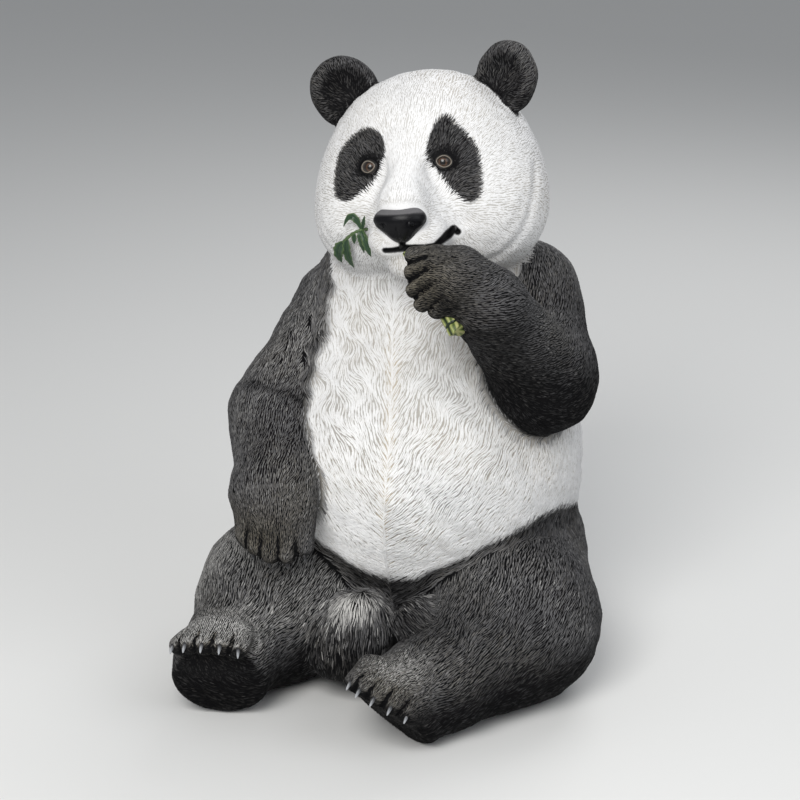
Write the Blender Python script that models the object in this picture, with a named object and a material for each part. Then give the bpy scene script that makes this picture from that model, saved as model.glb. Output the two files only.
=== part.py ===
"""Giant panda garden statue, sitting, with its left fist and a bamboo stalk at its mouth.

Metres. The statue faces -Y, +Z is up and its own left is +X. The origin is on the floor, under
the seat. Every mass of the body is an egg or a tapered limb. Masses that belong together blend
into one closed skin, and thin cuts then part that skin into its named pieces.
"""

import math

import bmesh
import bpy
import numpy as np
from mathutils import Matrix, Vector

for old in list(bpy.data.objects):
    bpy.data.objects.remove(old)

# Driving dimensions
GAP = 0.0004            # clearance between two pieces that meet
FLOOR = 0.0             # level of the flats that the statue sits on
BODY_CELL = 0.010       # voxel size of the body's first skin
HEAD_CELL = 0.007       # voxel size where the form is finer

# Pose: joints and centres
HEAD_CENTRE = (0.023, -0.045, 0.826)
HEAD_YAW, HEAD_ROLL, HEAD_PITCH = -1.6, -6.2, -7.3       # degrees
LEFT_SHOULDER, LEFT_ELBOW, LEFT_WRIST = (0.178, 0.0, 0.638), (0.220, -0.118, 0.530), (0.161, -0.300, 0.703)
RIGHT_SHOULDER, RIGHT_ELBOW, RIGHT_WRIST = (-0.135, 0.0, 0.592), (-0.207, -0.110, 0.430), (-0.187, -0.266, 0.365)
LEFT_HIP, LEFT_KNEE, LEFT_ANKLE = (0.140, 0.02, 0.150), (0.190, -0.175, 0.128), (0.108, -0.325, 0.090)
RIGHT_HIP, RIGHT_KNEE, RIGHT_ANKLE = (-0.148, 0.02, 0.150), (-0.205, -0.175, 0.128), (-0.243, -0.290, 0.095)
KEEL = 0.045            # half width of the seat between the thighs

# Five digits of each paw, from where they leave the paw to their ends
LEFT_KNUCKLES = ((0.086, -0.340, 0.789), (0.090, -0.350, 0.785), (0.095, -0.356, 0.770),
                 (0.105, -0.358, 0.753), (0.115, -0.355, 0.738))
LEFT_FINGERTIPS = ((0.053, -0.340, 0.788), (0.053, -0.350, 0.765), (0.058, -0.356, 0.741),
                   (0.071, -0.358, 0.719), (0.093, -0.351, 0.708))
RIGHT_KNUCKLES = ((-0.216, -0.292, 0.350), (-0.198, -0.306, 0.343), (-0.175, -0.312, 0.338),
                  (-0.152, -0.308, 0.339), (-0.131, -0.296, 0.345))
RIGHT_FINGERTIPS = ((-0.222, -0.320, 0.306), (-0.203, -0.330, 0.293), (-0.176, -0.336, 0.283),
                    (-0.149, -0.333, 0.283), (-0.124, -0.322, 0.294))
LEFT_TOE_ROOTS = ((0.000, -0.405, 0.138), (0.016, -0.413, 0.134), (0.036, -0.416, 0.125),
                  (0.058, -0.414, 0.113), (0.078, -0.408, 0.098))
LEFT_TOETIPS = ((-0.014, -0.452, 0.136), (0.002, -0.461, 0.130), (0.024, -0.463, 0.119),
                (0.049, -0.459, 0.106), (0.072, -0.449, 0.090))
RIGHT_TOE_ROOTS = ((-0.286, -0.385, 0.158), (-0.272, -0.390, 0.165), (-0.253, -0.392, 0.168),
                   (-0.233, -0.390, 0.167), (-0.216, -0.385, 0.160))
RIGHT_TOETIPS = ((-0.303, -0.426, 0.154), (-0.282, -0.435, 0.163), (-0.256, -0.438, 0.167),
                 (-0.230, -0.435, 0.166), (-0.206, -0.426, 0.158))
LEFT_SOLE, LEFT_SOLE_FACES = (0.016, -0.440, 0.105), (-0.45, -0.68, -0.58)
RIGHT_SOLE, RIGHT_SOLE_FACES = (-0.256, -0.418, 0.130), (0.10, -0.90, -0.42)

STALK_END, STALK_IN_MOUTH, STALK_RADIUS = (0.121, -0.355, 0.683), (0.026, -0.262, 0.782), 0.0125


# --- The masses: numpy only

def turned(yaw, roll, pitch):
    """Rotation by pitch about X, then roll about Y, then yaw about Z, in degrees."""
    a, b, c = (math.radians(v) for v in (pitch, roll, yaw))
    about_x = np.array([[1, 0, 0], [0, math.cos(a), -math.sin(a)], [0, math.sin(a), math.cos(a)]])
    about_y = np.array([[math.cos(b), 0, math.sin(b)], [0, 1, 0], [-math.sin(b), 0, math.cos(b)]])
    about_z = np.array([[math.cos(c), -math.sin(c), 0], [math.sin(c), math.cos(c), 0], [0, 0, 1]])
    return about_z @ about_y @ about_x


class Egg:
    """An ellipsoid. blend is how softly it flows into the masses before it; below 0 it hollows them."""

    def __init__(self, centre, radii, turn=None, blend=0.0):
        self.centre = np.array(centre, float)
        self.radii = np.array(radii, float)
        self.turn = np.eye(3) if turn is None else turn
        self.blend = blend

    def distance(self, points):
        local = (points - self.centre) @ self.turn
        near = np.sqrt(((local / self.radii) ** 2).sum(-1))
        slope = np.sqrt(((local / self.radii ** 2) ** 2).sum(-1)) + 1e-9
        return near * (near - 1) / slope


class Limb:
    """A round limb that tapers from one radius to another, with round ends."""

    def __init__(self, start, end, start_radius, end_radius, blend=0.0):
        self.start, self.end = np.array(start, float), np.array(end, float)
        self.radii = (start_radius, end_radius)
        self.blend = blend

    def distance(self, points):
        axis = self.end - self.start
        along = np.clip((points - self.start) @ axis / (axis @ axis), 0, 1)
        off = np.linalg.norm(points - self.start - along[:, None] * axis, axis=-1)
        return off - (self.radii[0] + (self.radii[1] - self.radii[0]) * along)


class Flat:
    """A flat cut: what lies beyond it, on the side its normal points to, is taken away."""

    def __init__(self, point, normal, blend):
        self.point = np.array(point, float)
        self.normal = np.array(normal, float) / np.linalg.norm(normal)
        self.blend = -blend

    def distance(self, points):
        return (self.point - points) @ self.normal


class Flesh:
    """Masses that blend into one another in turn; a Flesh may itself be one of them."""

    def __init__(self, masses, blend=0.0):
        self.masses = masses
        self.blend = blend

    def distance(self, points):
        result = None
        for mass in self.masses:
            near = mass.distance(points)
            if result is None:
                result = near
            elif mass.blend < 0:
                result = -smooth_least(-result, near, -mass.blend)
            else:
                result = smooth_least(result, near, mass.blend)
        return result

    def solids(self):
        for mass in self.masses:
            if isinstance(mass, Flesh):
                yield from mass.solids()
            elif mass.blend >= 0:
                yield mass


def smooth_least(first, second, width):
    """The lesser of two distances, rounded where they are within width of each other."""
    if width <= 0:
        return np.minimum(first, second)
    near = np.maximum(width - np.abs(first - second), 0) / width
    return np.minimum(first, second) - near * near * width * 0.25


HEAD_TURN = turned(HEAD_YAW, HEAD_ROLL, HEAD_PITCH)


def on_head(x, y, z):
    """A place given in the head's own frame, -Y out of the face."""
    return np.array(HEAD_CENTRE) + HEAD_TURN @ np.array((x, y, z))


def digits(roots, tips, root_radius, tip_radius):
    return [Limb(root, tip, root_radius, tip_radius, 0.018) for root, tip in zip(roots, tips)]


def leg(hip, knee, ankle, foot):
    """Thigh and shin as one, with the foot's masses."""
    return Flesh([Limb(hip, knee, 0.148, 0.131), Limb(knee, ankle, 0.124, 0.085, 0.07), foot], 0.03)


def trunk_and_legs():
    trunk = [Egg((0, 0.03, 0.185), (0.250, 0.235, 0.20)),
             Egg((0.003, -0.01, 0.355), (0.272, 0.272, 0.25), blend=0.08),
             Egg((0.01, 0.02, 0.54), (0.222, 0.20, 0.19), blend=0.10),
             Egg((0.02, 0.01, 0.68), (0.165, 0.15, 0.13), blend=0.08)]
    left_foot = Flesh([Egg((0.050, -0.388, 0.070), (0.078, 0.064, 0.082), turned(0, 30, -24)),
                       Egg((0.072, -0.365, 0.105), (0.060, 0.072, 0.050), turned(0, 28, 0), 0.03),
                       Flat(LEFT_SOLE, LEFT_SOLE_FACES, 0.012)]
                      + digits(LEFT_TOE_ROOTS, LEFT_TOETIPS, 0.022, 0.0175), 0.03)
    right_foot = Flesh([Egg((-0.254, -0.368, 0.080), (0.080, 0.064, 0.088), turned(4, 0, -14)),
                        Egg((-0.254, -0.345, 0.122), (0.064, 0.072, 0.050), blend=0.03),
                        Flat(RIGHT_SOLE, RIGHT_SOLE_FACES, 0.012)]
                       + digits(RIGHT_TOE_ROOTS, RIGHT_TOETIPS, 0.022, 0.0175), 0.03)
    return Flesh(trunk + [leg(LEFT_HIP, LEFT_KNEE, LEFT_ANKLE, left_foot),
                          leg(RIGHT_HIP, RIGHT_KNEE, RIGHT_ANKLE, right_foot)])


def left_arm():
    paw = [Limb(LEFT_WRIST, (0.118, -0.328, 0.754), 0.054, 0.049)]
    return Flesh([Limb(LEFT_SHOULDER, LEFT_ELBOW, 0.085, 0.083),
                  Limb(LEFT_ELBOW, LEFT_WRIST, 0.081, 0.056, 0.04),
                  Flesh(paw + digits(LEFT_KNUCKLES, LEFT_FINGERTIPS, 0.0165, 0.0130), 0.03)])


def right_arm():
    paw = [Limb(RIGHT_WRIST, (-0.174, -0.292, 0.335), 0.063, 0.054)]
    return Flesh([Limb(RIGHT_SHOULDER, RIGHT_ELBOW, 0.083, 0.089),
                  Limb(RIGHT_ELBOW, RIGHT_WRIST, 0.086, 0.068, 0.05),
                  Flesh(paw + digits(RIGHT_KNUCKLES, RIGHT_FINGERTIPS, 0.021, 0.0175), 0.03)])


def head():
    masses = [Egg(on_head(0, 0.01, 0.018), (0.172, 0.165, 0.160), HEAD_TURN)]
    for side in (1, -1):
        masses.append(Egg(on_head(0.085 * side, -0.02, -0.045), (0.100, 0.122, 0.100), HEAD_TURN, 0.06))
    masses.append(Limb(on_head(0, -0.10, -0.040), on_head(0, -0.168, -0.052), 0.076, 0.050, 0.045))
    masses.append(Limb(on_head(0, -0.125, 0.045), on_head(0, -0.196, -0.012), 0.034, 0.034, 0.035))
    for side in (1, -1):
        masses.append(Egg(on_head(0.027 * side, -0.172, -0.068), (0.036, 0.045, 0.033), HEAD_TURN, 0.015))
    masses.append(Egg(on_head(0, -0.150, -0.108), (0.042, 0.048, 0.030), HEAD_TURN, 0.018))
    for side in (1, -1):
        masses.append(Egg(on_head(0.064 * side, -0.178, 0.040), (0.030, 0.022, 0.028), HEAD_TURN, -0.03))
    return Flesh(masses)


def ear(side):
    """A round flap, cupped at the front. side is 1 for the statue's left."""
    turn = HEAD_TURN @ turned(-22 * side, 36 * side, 0)
    middle = on_head(0.132 * side, 0.0, 0.153 + 0.003 * side)
    return Flesh([Egg(middle, (0.056, 0.026, 0.061), turn),
                  Egg(middle + turn @ np.array((0, -0.034, 0.004)), (0.039, 0.026, 0.043), turn, -0.012)])


def nose():
    return Flesh([Egg(on_head(0, -0.216, -0.034), (0.041, 0.026, 0.022), HEAD_TURN),
                  Egg(on_head(0, -0.206, -0.052), (0.020, 0.022, 0.020), HEAD_TURN, 0.02)])


def eye(side):
    return Flesh([Egg(on_head(0.0574 * side - 0.0029, -0.137, 0.0405 + 0.001 * side), (0.0135, 0.0135, 0.0135))])


def groin_tuft():
    return Flesh([Egg((-0.048, -0.264, 0.118), (0.072, 0.068, 0.074)),
                  Egg((-0.086, -0.258, 0.096), (0.058, 0.062, 0.060), blend=0.03),
                  Egg((0.045, -0.272, 0.155), (0.036, 0.040, 0.042), blend=0.014)])


def tail():
    return Flesh([Egg((0.0, 0.252, 0.085), (0.070, 0.058, 0.065))])


# --- From masses to closed meshes

def new_object(name, bm):
    mesh = bpy.data.meshes.new(name)
    bm.to_mesh(mesh)
    bm.free()
    thing = bpy.data.objects.new(name, mesh)
    bpy.context.scene.collection.objects.link(thing)
    return thing


def settled(thing):
    """Turn an object's modifiers into its mesh."""
    bpy.context.view_layer.update()
    mesh = bpy.data.meshes.new_from_object(thing.evaluated_get(bpy.context.evaluated_depsgraph_get()))
    thing.modifiers.clear()
    thing.data = mesh
    return thing


def discard(*things):
    for thing in things:
        bpy.data.objects.remove(thing)


def place(centre, turn, size):
    matrix = Matrix(turn.tolist()).to_4x4() @ Matrix.Diagonal((*size, 1.0))
    matrix.translation = Vector(centre)
    return matrix


def add_rough(bm, mass):
    """Add one mass to bm as plain overlapping primitives."""
    if isinstance(mass, Egg):
        matrix = place(mass.centre, mass.turn, mass.radii)
        bmesh.ops.create_icosphere(bm, subdivisions=4, radius=1.0, matrix=matrix)
        return
    for end, radius in zip((mass.start, mass.end), mass.radii):
        bmesh.ops.create_icosphere(bm, subdivisions=4, radius=radius, matrix=Matrix.Translation(end))
    axis = Vector(mass.end - mass.start)
    matrix = axis.to_track_quat("Z", "Y").to_matrix().to_4x4()
    matrix.translation = Vector((mass.start + mass.end) / 2)
    bmesh.ops.create_cone(bm, cap_ends=True, segments=32, radius1=mass.radii[0], radius2=mass.radii[1],
                          depth=axis.length, matrix=matrix)


def slope(flesh, points, step=0.0005):
    """Which way the distance grows, by small steps along each axis."""
    sides = [flesh.distance(points + shift) - flesh.distance(points - shift)
             for shift in np.eye(3) * step]
    grown = np.stack(sides, -1)
    return grown / (np.linalg.norm(grown, axis=-1, keepdims=True) + 1e-12)


def remeshed(thing, cell):
    """One closed skin round overlapping shells, by small cubes of this size."""
    remesh = thing.modifiers.new("skin", "REMESH")
    remesh.mode = "VOXEL"
    remesh.voxel_size = cell
    return settled(thing)


def without_crumbs(thing):
    """Keep only the largest connected body of a mesh."""
    bm = bmesh.new()
    bm.from_mesh(thing.data)
    waiting = set(bm.verts)
    bodies = []
    while waiting:
        edge = [waiting.pop()]
        body = set(edge)
        while edge:
            near = {link.other_vert(vert) for vert in edge for link in vert.link_edges} - body
            body |= near
            edge = list(near)
        waiting -= body
        bodies.append(body)
    crumbs = [vert for body in bodies if body is not max(bodies, key=len) for vert in body]
    bmesh.ops.delete(bm, geom=crumbs, context="VERTS")
    bm.to_mesh(thing.data)
    bm.free()
    return thing


def thinned(thing, triangles):
    thin = thing.modifiers.new("fewer faces", "DECIMATE")
    thin.ratio = triangles / (2 * len(thing.data.polygons))
    return settled(thing)


def moulded(name, flesh, cell, triangles):
    """One closed skin over the blended masses, with about this many triangles."""
    bm = bmesh.new()
    for mass in flesh.solids():
        add_rough(bm, mass)
    thing = remeshed(new_object(name, bm), cell)
    points = np.empty(len(thing.data.vertices) * 3)
    thing.data.vertices.foreach_get("co", points)
    points = points.reshape(-1, 3)
    for _ in range(4):
        points -= flesh.distance(points)[:, None] * slope(flesh, points)
    thing.data.vertices.foreach_set("co", points.ravel())
    thing.data.update()
    return thinned(thing, triangles)


def swollen(thing, by=GAP):
    """A copy grown outward along its normals, to cut neighbours with clearance."""
    copy = bpy.data.objects.new(thing.name + "_swollen", thing.data.copy())
    bpy.context.scene.collection.objects.link(copy)
    for vertex, normal in zip(copy.data.vertices, [n.vector.copy() for n in thing.data.vertex_normals]):
        vertex.co += normal * by
    return copy


def combined(thing, operation, *cutters):
    for cutter in cutters:
        boolean = thing.modifiers.new(operation.lower(), "BOOLEAN")
        boolean.operation = operation
        boolean.solver = "EXACT"
        boolean.object = cutter
    return settled(thing)


def make_room(thing, *neighbours):
    """Cut the neighbours out of thing, with clearance all round them."""
    cutters = [swollen(neighbour) for neighbour in neighbours]
    combined(thing, "DIFFERENCE", *cutters)
    discard(*cutters)
    return thing


def halved(thing, name, point, normal):
    """Part thing at a plane with a thin cut. The side the normal points to becomes a new object."""
    normal = Vector(normal).normalized()
    far = bpy.data.objects.new(name, thing.data.copy())
    bpy.context.scene.collection.objects.link(far)
    for side, target in ((1, far), (-1, thing)):
        bm = bmesh.new()
        bm.from_mesh(target.data)
        cut_at = Vector(point) + normal * (side * GAP / 2)
        everything = bm.verts[:] + bm.edges[:] + bm.faces[:]
        bmesh.ops.bisect_plane(bm, geom=everything, plane_co=cut_at, plane_no=normal * -side,
                               clear_outer=True)
        rim = [edge for edge in bm.edges if edge.is_boundary]
        bmesh.ops.holes_fill(bm, edges=rim, sides=0)
        bmesh.ops.recalc_face_normals(bm, faces=bm.faces[:])
        bm.to_mesh(target.data)
        bm.free()
    return far


def wedge(planes, inset=0.0):
    """A convex cutter: a large cube, cut back by planes whose normals point out of it."""
    bm = bmesh.new()
    bmesh.ops.create_cube(bm, size=3.0)
    for point, normal in planes:
        outward = Vector(normal).normalized()
        everything = bm.verts[:] + bm.edges[:] + bm.faces[:]
        bmesh.ops.bisect_plane(bm, geom=everything, plane_co=Vector(point) - outward * inset,
                               plane_no=outward, clear_outer=True)
        bmesh.ops.holes_fill(bm, edges=[edge for edge in bm.edges if edge.is_boundary], sides=0)
    bmesh.ops.recalc_face_normals(bm, faces=bm.faces[:])
    return new_object("wedge", bm)


# --- Materials

PAINTS = {
    "white_paint": ((0.80, 0.79, 0.75), 0.6),
    "black_paint": ((0.035, 0.035, 0.038), 0.55),
    "gloss_black": ((0.010, 0.010, 0.011), 0.18),
    "eye_glass": ((0.055, 0.028, 0.014), 0.06),
    "claw_grey": ((0.28, 0.28, 0.29), 0.35),
    "stalk_green": ((0.30, 0.34, 0.08), 0.5),
    "leaf_green": ((0.03, 0.10, 0.03), 0.5),
}


def painted(thing, name, paint):
    """Name a finished piece, paint it and shade it smooth."""
    colour, roughness = PAINTS[paint]
    material = bpy.data.materials.new(f"{name}_{paint}")
    material.use_nodes = True
    surface = material.node_tree.nodes["Principled BSDF"]
    surface.inputs["Base Color"].default_value = (*colour, 1.0)
    surface.inputs["Roughness"].default_value = roughness
    thing.data.materials.clear()
    thing.data.materials.append(material)
    thing.name = thing.data.name = name
    thing.data.shade_smooth()
    thing.data.set_sharp_from_angle(angle=math.radians(50))
    return thing


# --- Small pieces

def horn(bm, root, tip, radius, bend, sides=6, rings=3):
    """A claw: a cone whose axis bends from root to tip, closed by a point."""
    root, tip, bend = Vector(root), Vector(tip), Vector(bend)
    side = (tip - root).cross(bend).normalized()
    loops = []
    for ring in range(rings):
        t = ring / rings
        centre = root.lerp(tip, t) + bend * (4 * t * (1 - t))
        ahead = ((tip - root) + bend * 4 * (1 - 2 * t)).normalized()
        across = ahead.cross(side)
        size = radius * (1 - t) ** 0.6
        loops.append([bm.verts.new(centre + size * (side * math.cos(a) * 0.8 + across * math.sin(a)))
                      for a in (2 * math.pi * k / sides for k in range(sides))])
    point = bm.verts.new(tip)
    for low, high in zip(loops, loops[1:]):
        for k in range(sides):
            bm.faces.new((low[k], low[(k + 1) % sides], high[(k + 1) % sides], high[k]))
    for k in range(sides):
        bm.faces.new((loops[-1][k], loops[-1][(k + 1) % sides], point))
    bm.faces.new(loops[0])
    bmesh.ops.recalc_face_normals(bm, faces=bm.faces[:])


CLAW_RADIUS = 0.0039
# Where a claw starts ahead of its digit's end and above it, then how far it runs ahead and down
HIND_CLAW, FRONT_CLAW = (0.0135, 0.0070, 0.0085, 0.0135), (0.0125, 0.0020, 0.0060, 0.0090)


def claws(name, roots, tips, down, shape):
    """Five claws at the ends of five digits. down is the way that they hook."""
    out, above, reach, drop = shape
    down = Vector(down).normalized()
    made = []
    for number, (root, tip) in enumerate(zip(roots, tips), start=1):
        ahead = (Vector(tip) - Vector(root)).normalized()
        start = Vector(tip) + ahead * out - down * above
        end = start + ahead * reach + down * drop
        bm = bmesh.new()
        horn(bm, start, end, CLAW_RADIUS, ahead * 0.0015 - down * 0.0008)
        made.append(new_object(f"{name}_{number}", bm))
    return made


def rod(name, start, end, radius, sides=14):
    bm = bmesh.new()
    axis = Vector(end) - Vector(start)
    matrix = axis.to_track_quat("Z", "Y").to_matrix().to_4x4()
    matrix.translation = (Vector(start) + Vector(end)) / 2
    bmesh.ops.create_cone(bm, cap_ends=True, segments=sides, radius1=radius, radius2=radius * 0.85,
                          depth=axis.length, matrix=matrix)
    return new_object(name, bm)


def leaf(bm, start, middle, end, width, thickness=0.0020, steps=6):
    """A bamboo leaf as a thin lens, bent through three places."""
    middle, end = Vector(on_head(*middle)), Vector(on_head(*end))
    facing = Vector(HEAD_TURN @ np.array((0.0, -1.0, 0.0)))
    rings = []
    for step in range(1, steps):
        t = step / steps
        centre = start * (1 - t) ** 2 + middle * 2 * t * (1 - t) + end * t ** 2
        ahead = ((middle - start) * (1 - t) + (end - middle) * t).normalized()
        across = ahead.cross(facing).normalized()
        lift = across.cross(ahead).normalized() * thickness / 2
        half = across * (width / 2 * math.sin(math.pi * t ** 0.75) + 0.0006)
        rings.append([bm.verts.new(centre + offset) for offset in (half, lift, -half, -lift)])
    first, last = bm.verts.new(start), bm.verts.new(end)
    for low, high in zip(rings, rings[1:]):
        for k in range(4):
            bm.faces.new((low[k], low[(k + 1) % 4], high[(k + 1) % 4], high[k]))
    for k in range(4):
        bm.faces.new((first, rings[0][(k + 1) % 4], rings[0][k]))
        bm.faces.new((rings[-1][k], rings[-1][(k + 1) % 4], last))


# The sprig in the head's frame. Each leaf: how far along the twig, its bend, its end, its width
SPRIG_ROOT, SPRIG_BEND, SPRIG_END = (-0.064, -0.146, -0.056), (-0.080, -0.174, -0.047), (-0.111, -0.149, -0.073)
LEAVES = ((0.36, (-0.086, -0.172, -0.013), (-0.107, -0.154, -0.048), 0.010),
          (0.34, (-0.069, -0.172, -0.040), (-0.066, -0.176, -0.031), 0.005),
          (0.98, (-0.129, -0.142, -0.087), (-0.126, -0.114, -0.109), 0.017),
          (0.86, (-0.113, -0.144, -0.092), (-0.107, -0.114, -0.118), 0.013),
          (0.62, (-0.090, -0.160, -0.066), (-0.093, -0.151, -0.076), 0.007),
          (0.44, (-0.077, -0.168, -0.070), (-0.079, -0.148, -0.091), 0.009),
          (0.38, (-0.072, -0.170, -0.066), (-0.071, -0.163, -0.079), 0.007),
          (0.34, (-0.068, -0.172, -0.077), (-0.067, -0.155, -0.096), 0.011))
TWIG_RADIUS = 0.0026


def on_twig(t):
    root, bend, end = (Vector(on_head(*spot)) for spot in (SPRIG_ROOT, SPRIG_BEND, SPRIG_END))
    return root * (1 - t) ** 2 + bend * 2 * t * (1 - t) + end * t ** 2


def sprig():
    """The twig at the right corner of the mouth, with its leaves, as one solid."""
    bm = bmesh.new()
    knots = [on_twig(step / 5) for step in range(6)]
    for low, high in zip(knots, knots[1:]):
        add_rough(bm, Limb(low, high, TWIG_RADIUS, TWIG_RADIUS))
    for along, *shape in LEAVES:
        leaf(bm, on_twig(along), *shape)
    bmesh.ops.recalc_face_normals(bm, faces=bm.faces[:])
    return thinned(without_crumbs(remeshed(new_object("bamboo_sprig", bm), 0.0005)), 460)


# --- The whole animal

def build():
    face = moulded("head", head(), HEAD_CELL, 740)
    ears = [moulded(name, ear(side), 0.005, 140) for name, side in (("ear_left", 1), ("ear_right", -1))]
    eyes = [moulded(name, eye(side), 0.002, 96) for name, side in (("eye_left", 1), ("eye_right", -1))]
    snout = moulded("nose", nose(), 0.004, 130)
    arms = {"left": moulded("arm_left", left_arm(), HEAD_CELL, 600),
            "right": moulded("arm_right", right_arm(), HEAD_CELL, 600)}
    body = moulded("trunk", trunk_and_legs(), BODY_CELL, 1140)
    tuft = moulded("groin_tuft", groin_tuft(), 0.007, 140)
    stump = moulded("tail", tail(), 0.007, 100)
    stalk = rod("bamboo_stalk", STALK_END, STALK_IN_MOUTH, STALK_RADIUS)
    leaves = sprig()
    socket = rod("socket", on_twig(-0.05), on_twig(0.30), TWIG_RADIUS + 0.0022)
    hooks = {"hind_left": claws("claw_hind_left", LEFT_TOE_ROOTS, LEFT_TOETIPS, (-0.30, -0.25, -0.9),
                                HIND_CLAW),
             "hind_right": claws("claw_hind_right", RIGHT_TOE_ROOTS, RIGHT_TOETIPS, (0.05, -0.35, -0.9),
                                 HIND_CLAW),
             "front_right": claws("claw_front_right", RIGHT_KNUCKLES, RIGHT_FINGERTIPS, (0.0, 0.6, -0.8),
                                  FRONT_CLAW)}

    for flap in ears:
        make_room(flap, face)
    make_room(body, arms["left"], arms["right"], face, tuft, stump)
    make_room(face, arms["left"], snout, stalk, *eyes)
    make_room(face, socket)
    discard(socket)
    make_room(arms["left"], stalk)
    make_room(snout, stalk)
    make_room(arms["right"], *hooks["front_right"])

    discard(halved(body, "below the floor", (0, 0, FLOOR - GAP / 2), (0, 0, -1)))
    neck = halved(body, "neck", (0, -0.02, 0.655), (0, -0.15, 1.0))
    legs = {}
    for name, side, lean in (("left", 1, 0.35), ("right", -1, 0.0)):
        hip_cut = [((0.09 * side, -0.10, 0.235), (-0.52 * side, 0.35, 0.78)),
                   ((KEEL * side, -0.10, 0), (-side, lean, 0))]
        inner, outer = wedge(hip_cut, GAP), wedge(hip_cut)
        legs[name] = bpy.data.objects.new(f"thigh_{name}", body.data.copy())
        bpy.context.scene.collection.objects.link(legs[name])
        combined(legs[name], "INTERSECT", inner)
        combined(body, "DIFFERENCE", outer)
        discard(inner, outer)

    for name, knee, ankle, hip in (("left", LEFT_KNEE, LEFT_ANKLE, LEFT_HIP),
                                   ("right", RIGHT_KNEE, RIGHT_ANKLE, RIGHT_HIP)):
        thigh = legs[name]
        bend = (Vector(ankle) - Vector(hip)).normalized()
        shin = halved(thigh, f"shin_{name}", knee, bend)
        shank = (Vector(ankle) - Vector(knee)).normalized()
        paw = halved(shin, f"hind_paw_{name}", Vector(ankle) - shank * 0.012, shank)
        make_room(paw, *hooks[f"hind_{name}"])
        painted(thigh, thigh.name, "black_paint")
        painted(shin, f"shin_{name}", "black_paint")
        painted(paw, f"hind_paw_{name}", "black_paint")

    for name, elbow, wrist, shoulder in (("left", LEFT_ELBOW, LEFT_WRIST, LEFT_SHOULDER),
                                         ("right", RIGHT_ELBOW, RIGHT_WRIST, RIGHT_SHOULDER)):
        arm = arms[name]
        bend = (Vector(wrist) - Vector(shoulder)).normalized()
        forearm = halved(arm, f"forearm_{name}", elbow, bend)
        axis = (Vector(wrist) - Vector(elbow)).normalized()
        paw = halved(forearm, f"front_paw_{name}", wrist, axis)
        painted(arm, f"upper_arm_{name}", "black_paint")
        painted(forearm, f"forearm_{name}", "black_paint")
        painted(paw, f"front_paw_{name}", "black_paint")

    painted(body, "trunk", "white_paint")
    painted(neck, "neck", "white_paint")
    painted(face, "head", "white_paint")
    painted(stump, "tail", "white_paint")
    painted(tuft, "groin_tuft", "black_paint")
    painted(snout, "nose", "gloss_black")
    painted(stalk, "bamboo_stalk", "stalk_green")
    painted(leaves, "bamboo_sprig", "leaf_green")
    for thing in ears:
        painted(thing, thing.name, "black_paint")
    for thing in eyes:
        painted(thing, thing.name, "eye_glass")
    for claw in (claw for row in hooks.values() for claw in row):
        painted(claw, claw.name, "claw_grey")


build()
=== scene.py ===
import math

import bmesh
import bpy
import numpy as np
from mathutils import Matrix, Vector
from mathutils.bvhtree import BVHTree


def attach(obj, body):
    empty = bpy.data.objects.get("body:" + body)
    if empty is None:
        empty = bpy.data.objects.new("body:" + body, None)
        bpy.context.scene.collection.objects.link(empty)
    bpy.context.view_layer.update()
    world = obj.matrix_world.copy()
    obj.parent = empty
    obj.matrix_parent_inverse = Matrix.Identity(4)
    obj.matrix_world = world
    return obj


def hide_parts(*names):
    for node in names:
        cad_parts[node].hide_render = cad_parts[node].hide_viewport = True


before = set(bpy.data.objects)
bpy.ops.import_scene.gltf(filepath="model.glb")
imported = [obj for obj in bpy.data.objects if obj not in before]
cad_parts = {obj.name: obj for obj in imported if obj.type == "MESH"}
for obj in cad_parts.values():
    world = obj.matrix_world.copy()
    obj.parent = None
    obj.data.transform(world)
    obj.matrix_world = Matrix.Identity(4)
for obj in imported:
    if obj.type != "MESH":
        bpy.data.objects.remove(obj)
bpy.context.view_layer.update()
scene = bpy.context.scene
dice = np.random.default_rng(7)
print("frame loaded")


def unit(vectors):
    return vectors / (np.linalg.norm(vectors, axis=-1, keepdims=True) + 1e-12)


def apart(points, places):
    return np.linalg.norm(points - places, axis=-1)


def hump(value, width):
    # 1 where the value is 0, and fading to 0 over a few widths
    return np.exp(-(value / width) ** 2)


def smoothStep(value, low, high):
    t = np.clip((value - low) / (high - low), 0, 1)
    return t * t * (3 - 2 * t)


def alongStretch(points, start, end):
    # how far along a straight stretch each point is, from 0 to 1, and how far off it
    axis = np.subtract(end, start, dtype=float)
    share = np.clip((points - start) @ axis / (axis @ axis), 0, 1)
    return share, apart(points - start, share[:, None] * axis)


def fullTurn(count):
    return np.arange(count) * 2 * math.pi / count


def linked(name, data):
    thing = bpy.data.objects.new(name, data)
    scene.collection.objects.link(thing)
    return thing


# the view: where the camera stands, and which way is right and up for it
view = {"place": (0.618, -3.088, 1.582), "right": (0.9781, 0.2079, 0.0), "up": (-0.0711, 0.3346, 0.9397),
        "lens": 89.1}


def setCamera():
    camera = linked("camera", bpy.data.cameras.new("camera"))
    right, up = Vector(view["right"]).normalized(), Vector(view["up"]).normalized()
    turn = Matrix((right, up, right.cross(up))).transposed().to_4x4()
    camera.matrix_world = Matrix.Translation(view["place"]) @ turn
    camera.data.lens = view["lens"]
    camera.data.sensor_width = 36.0
    scene.camera = camera


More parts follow.
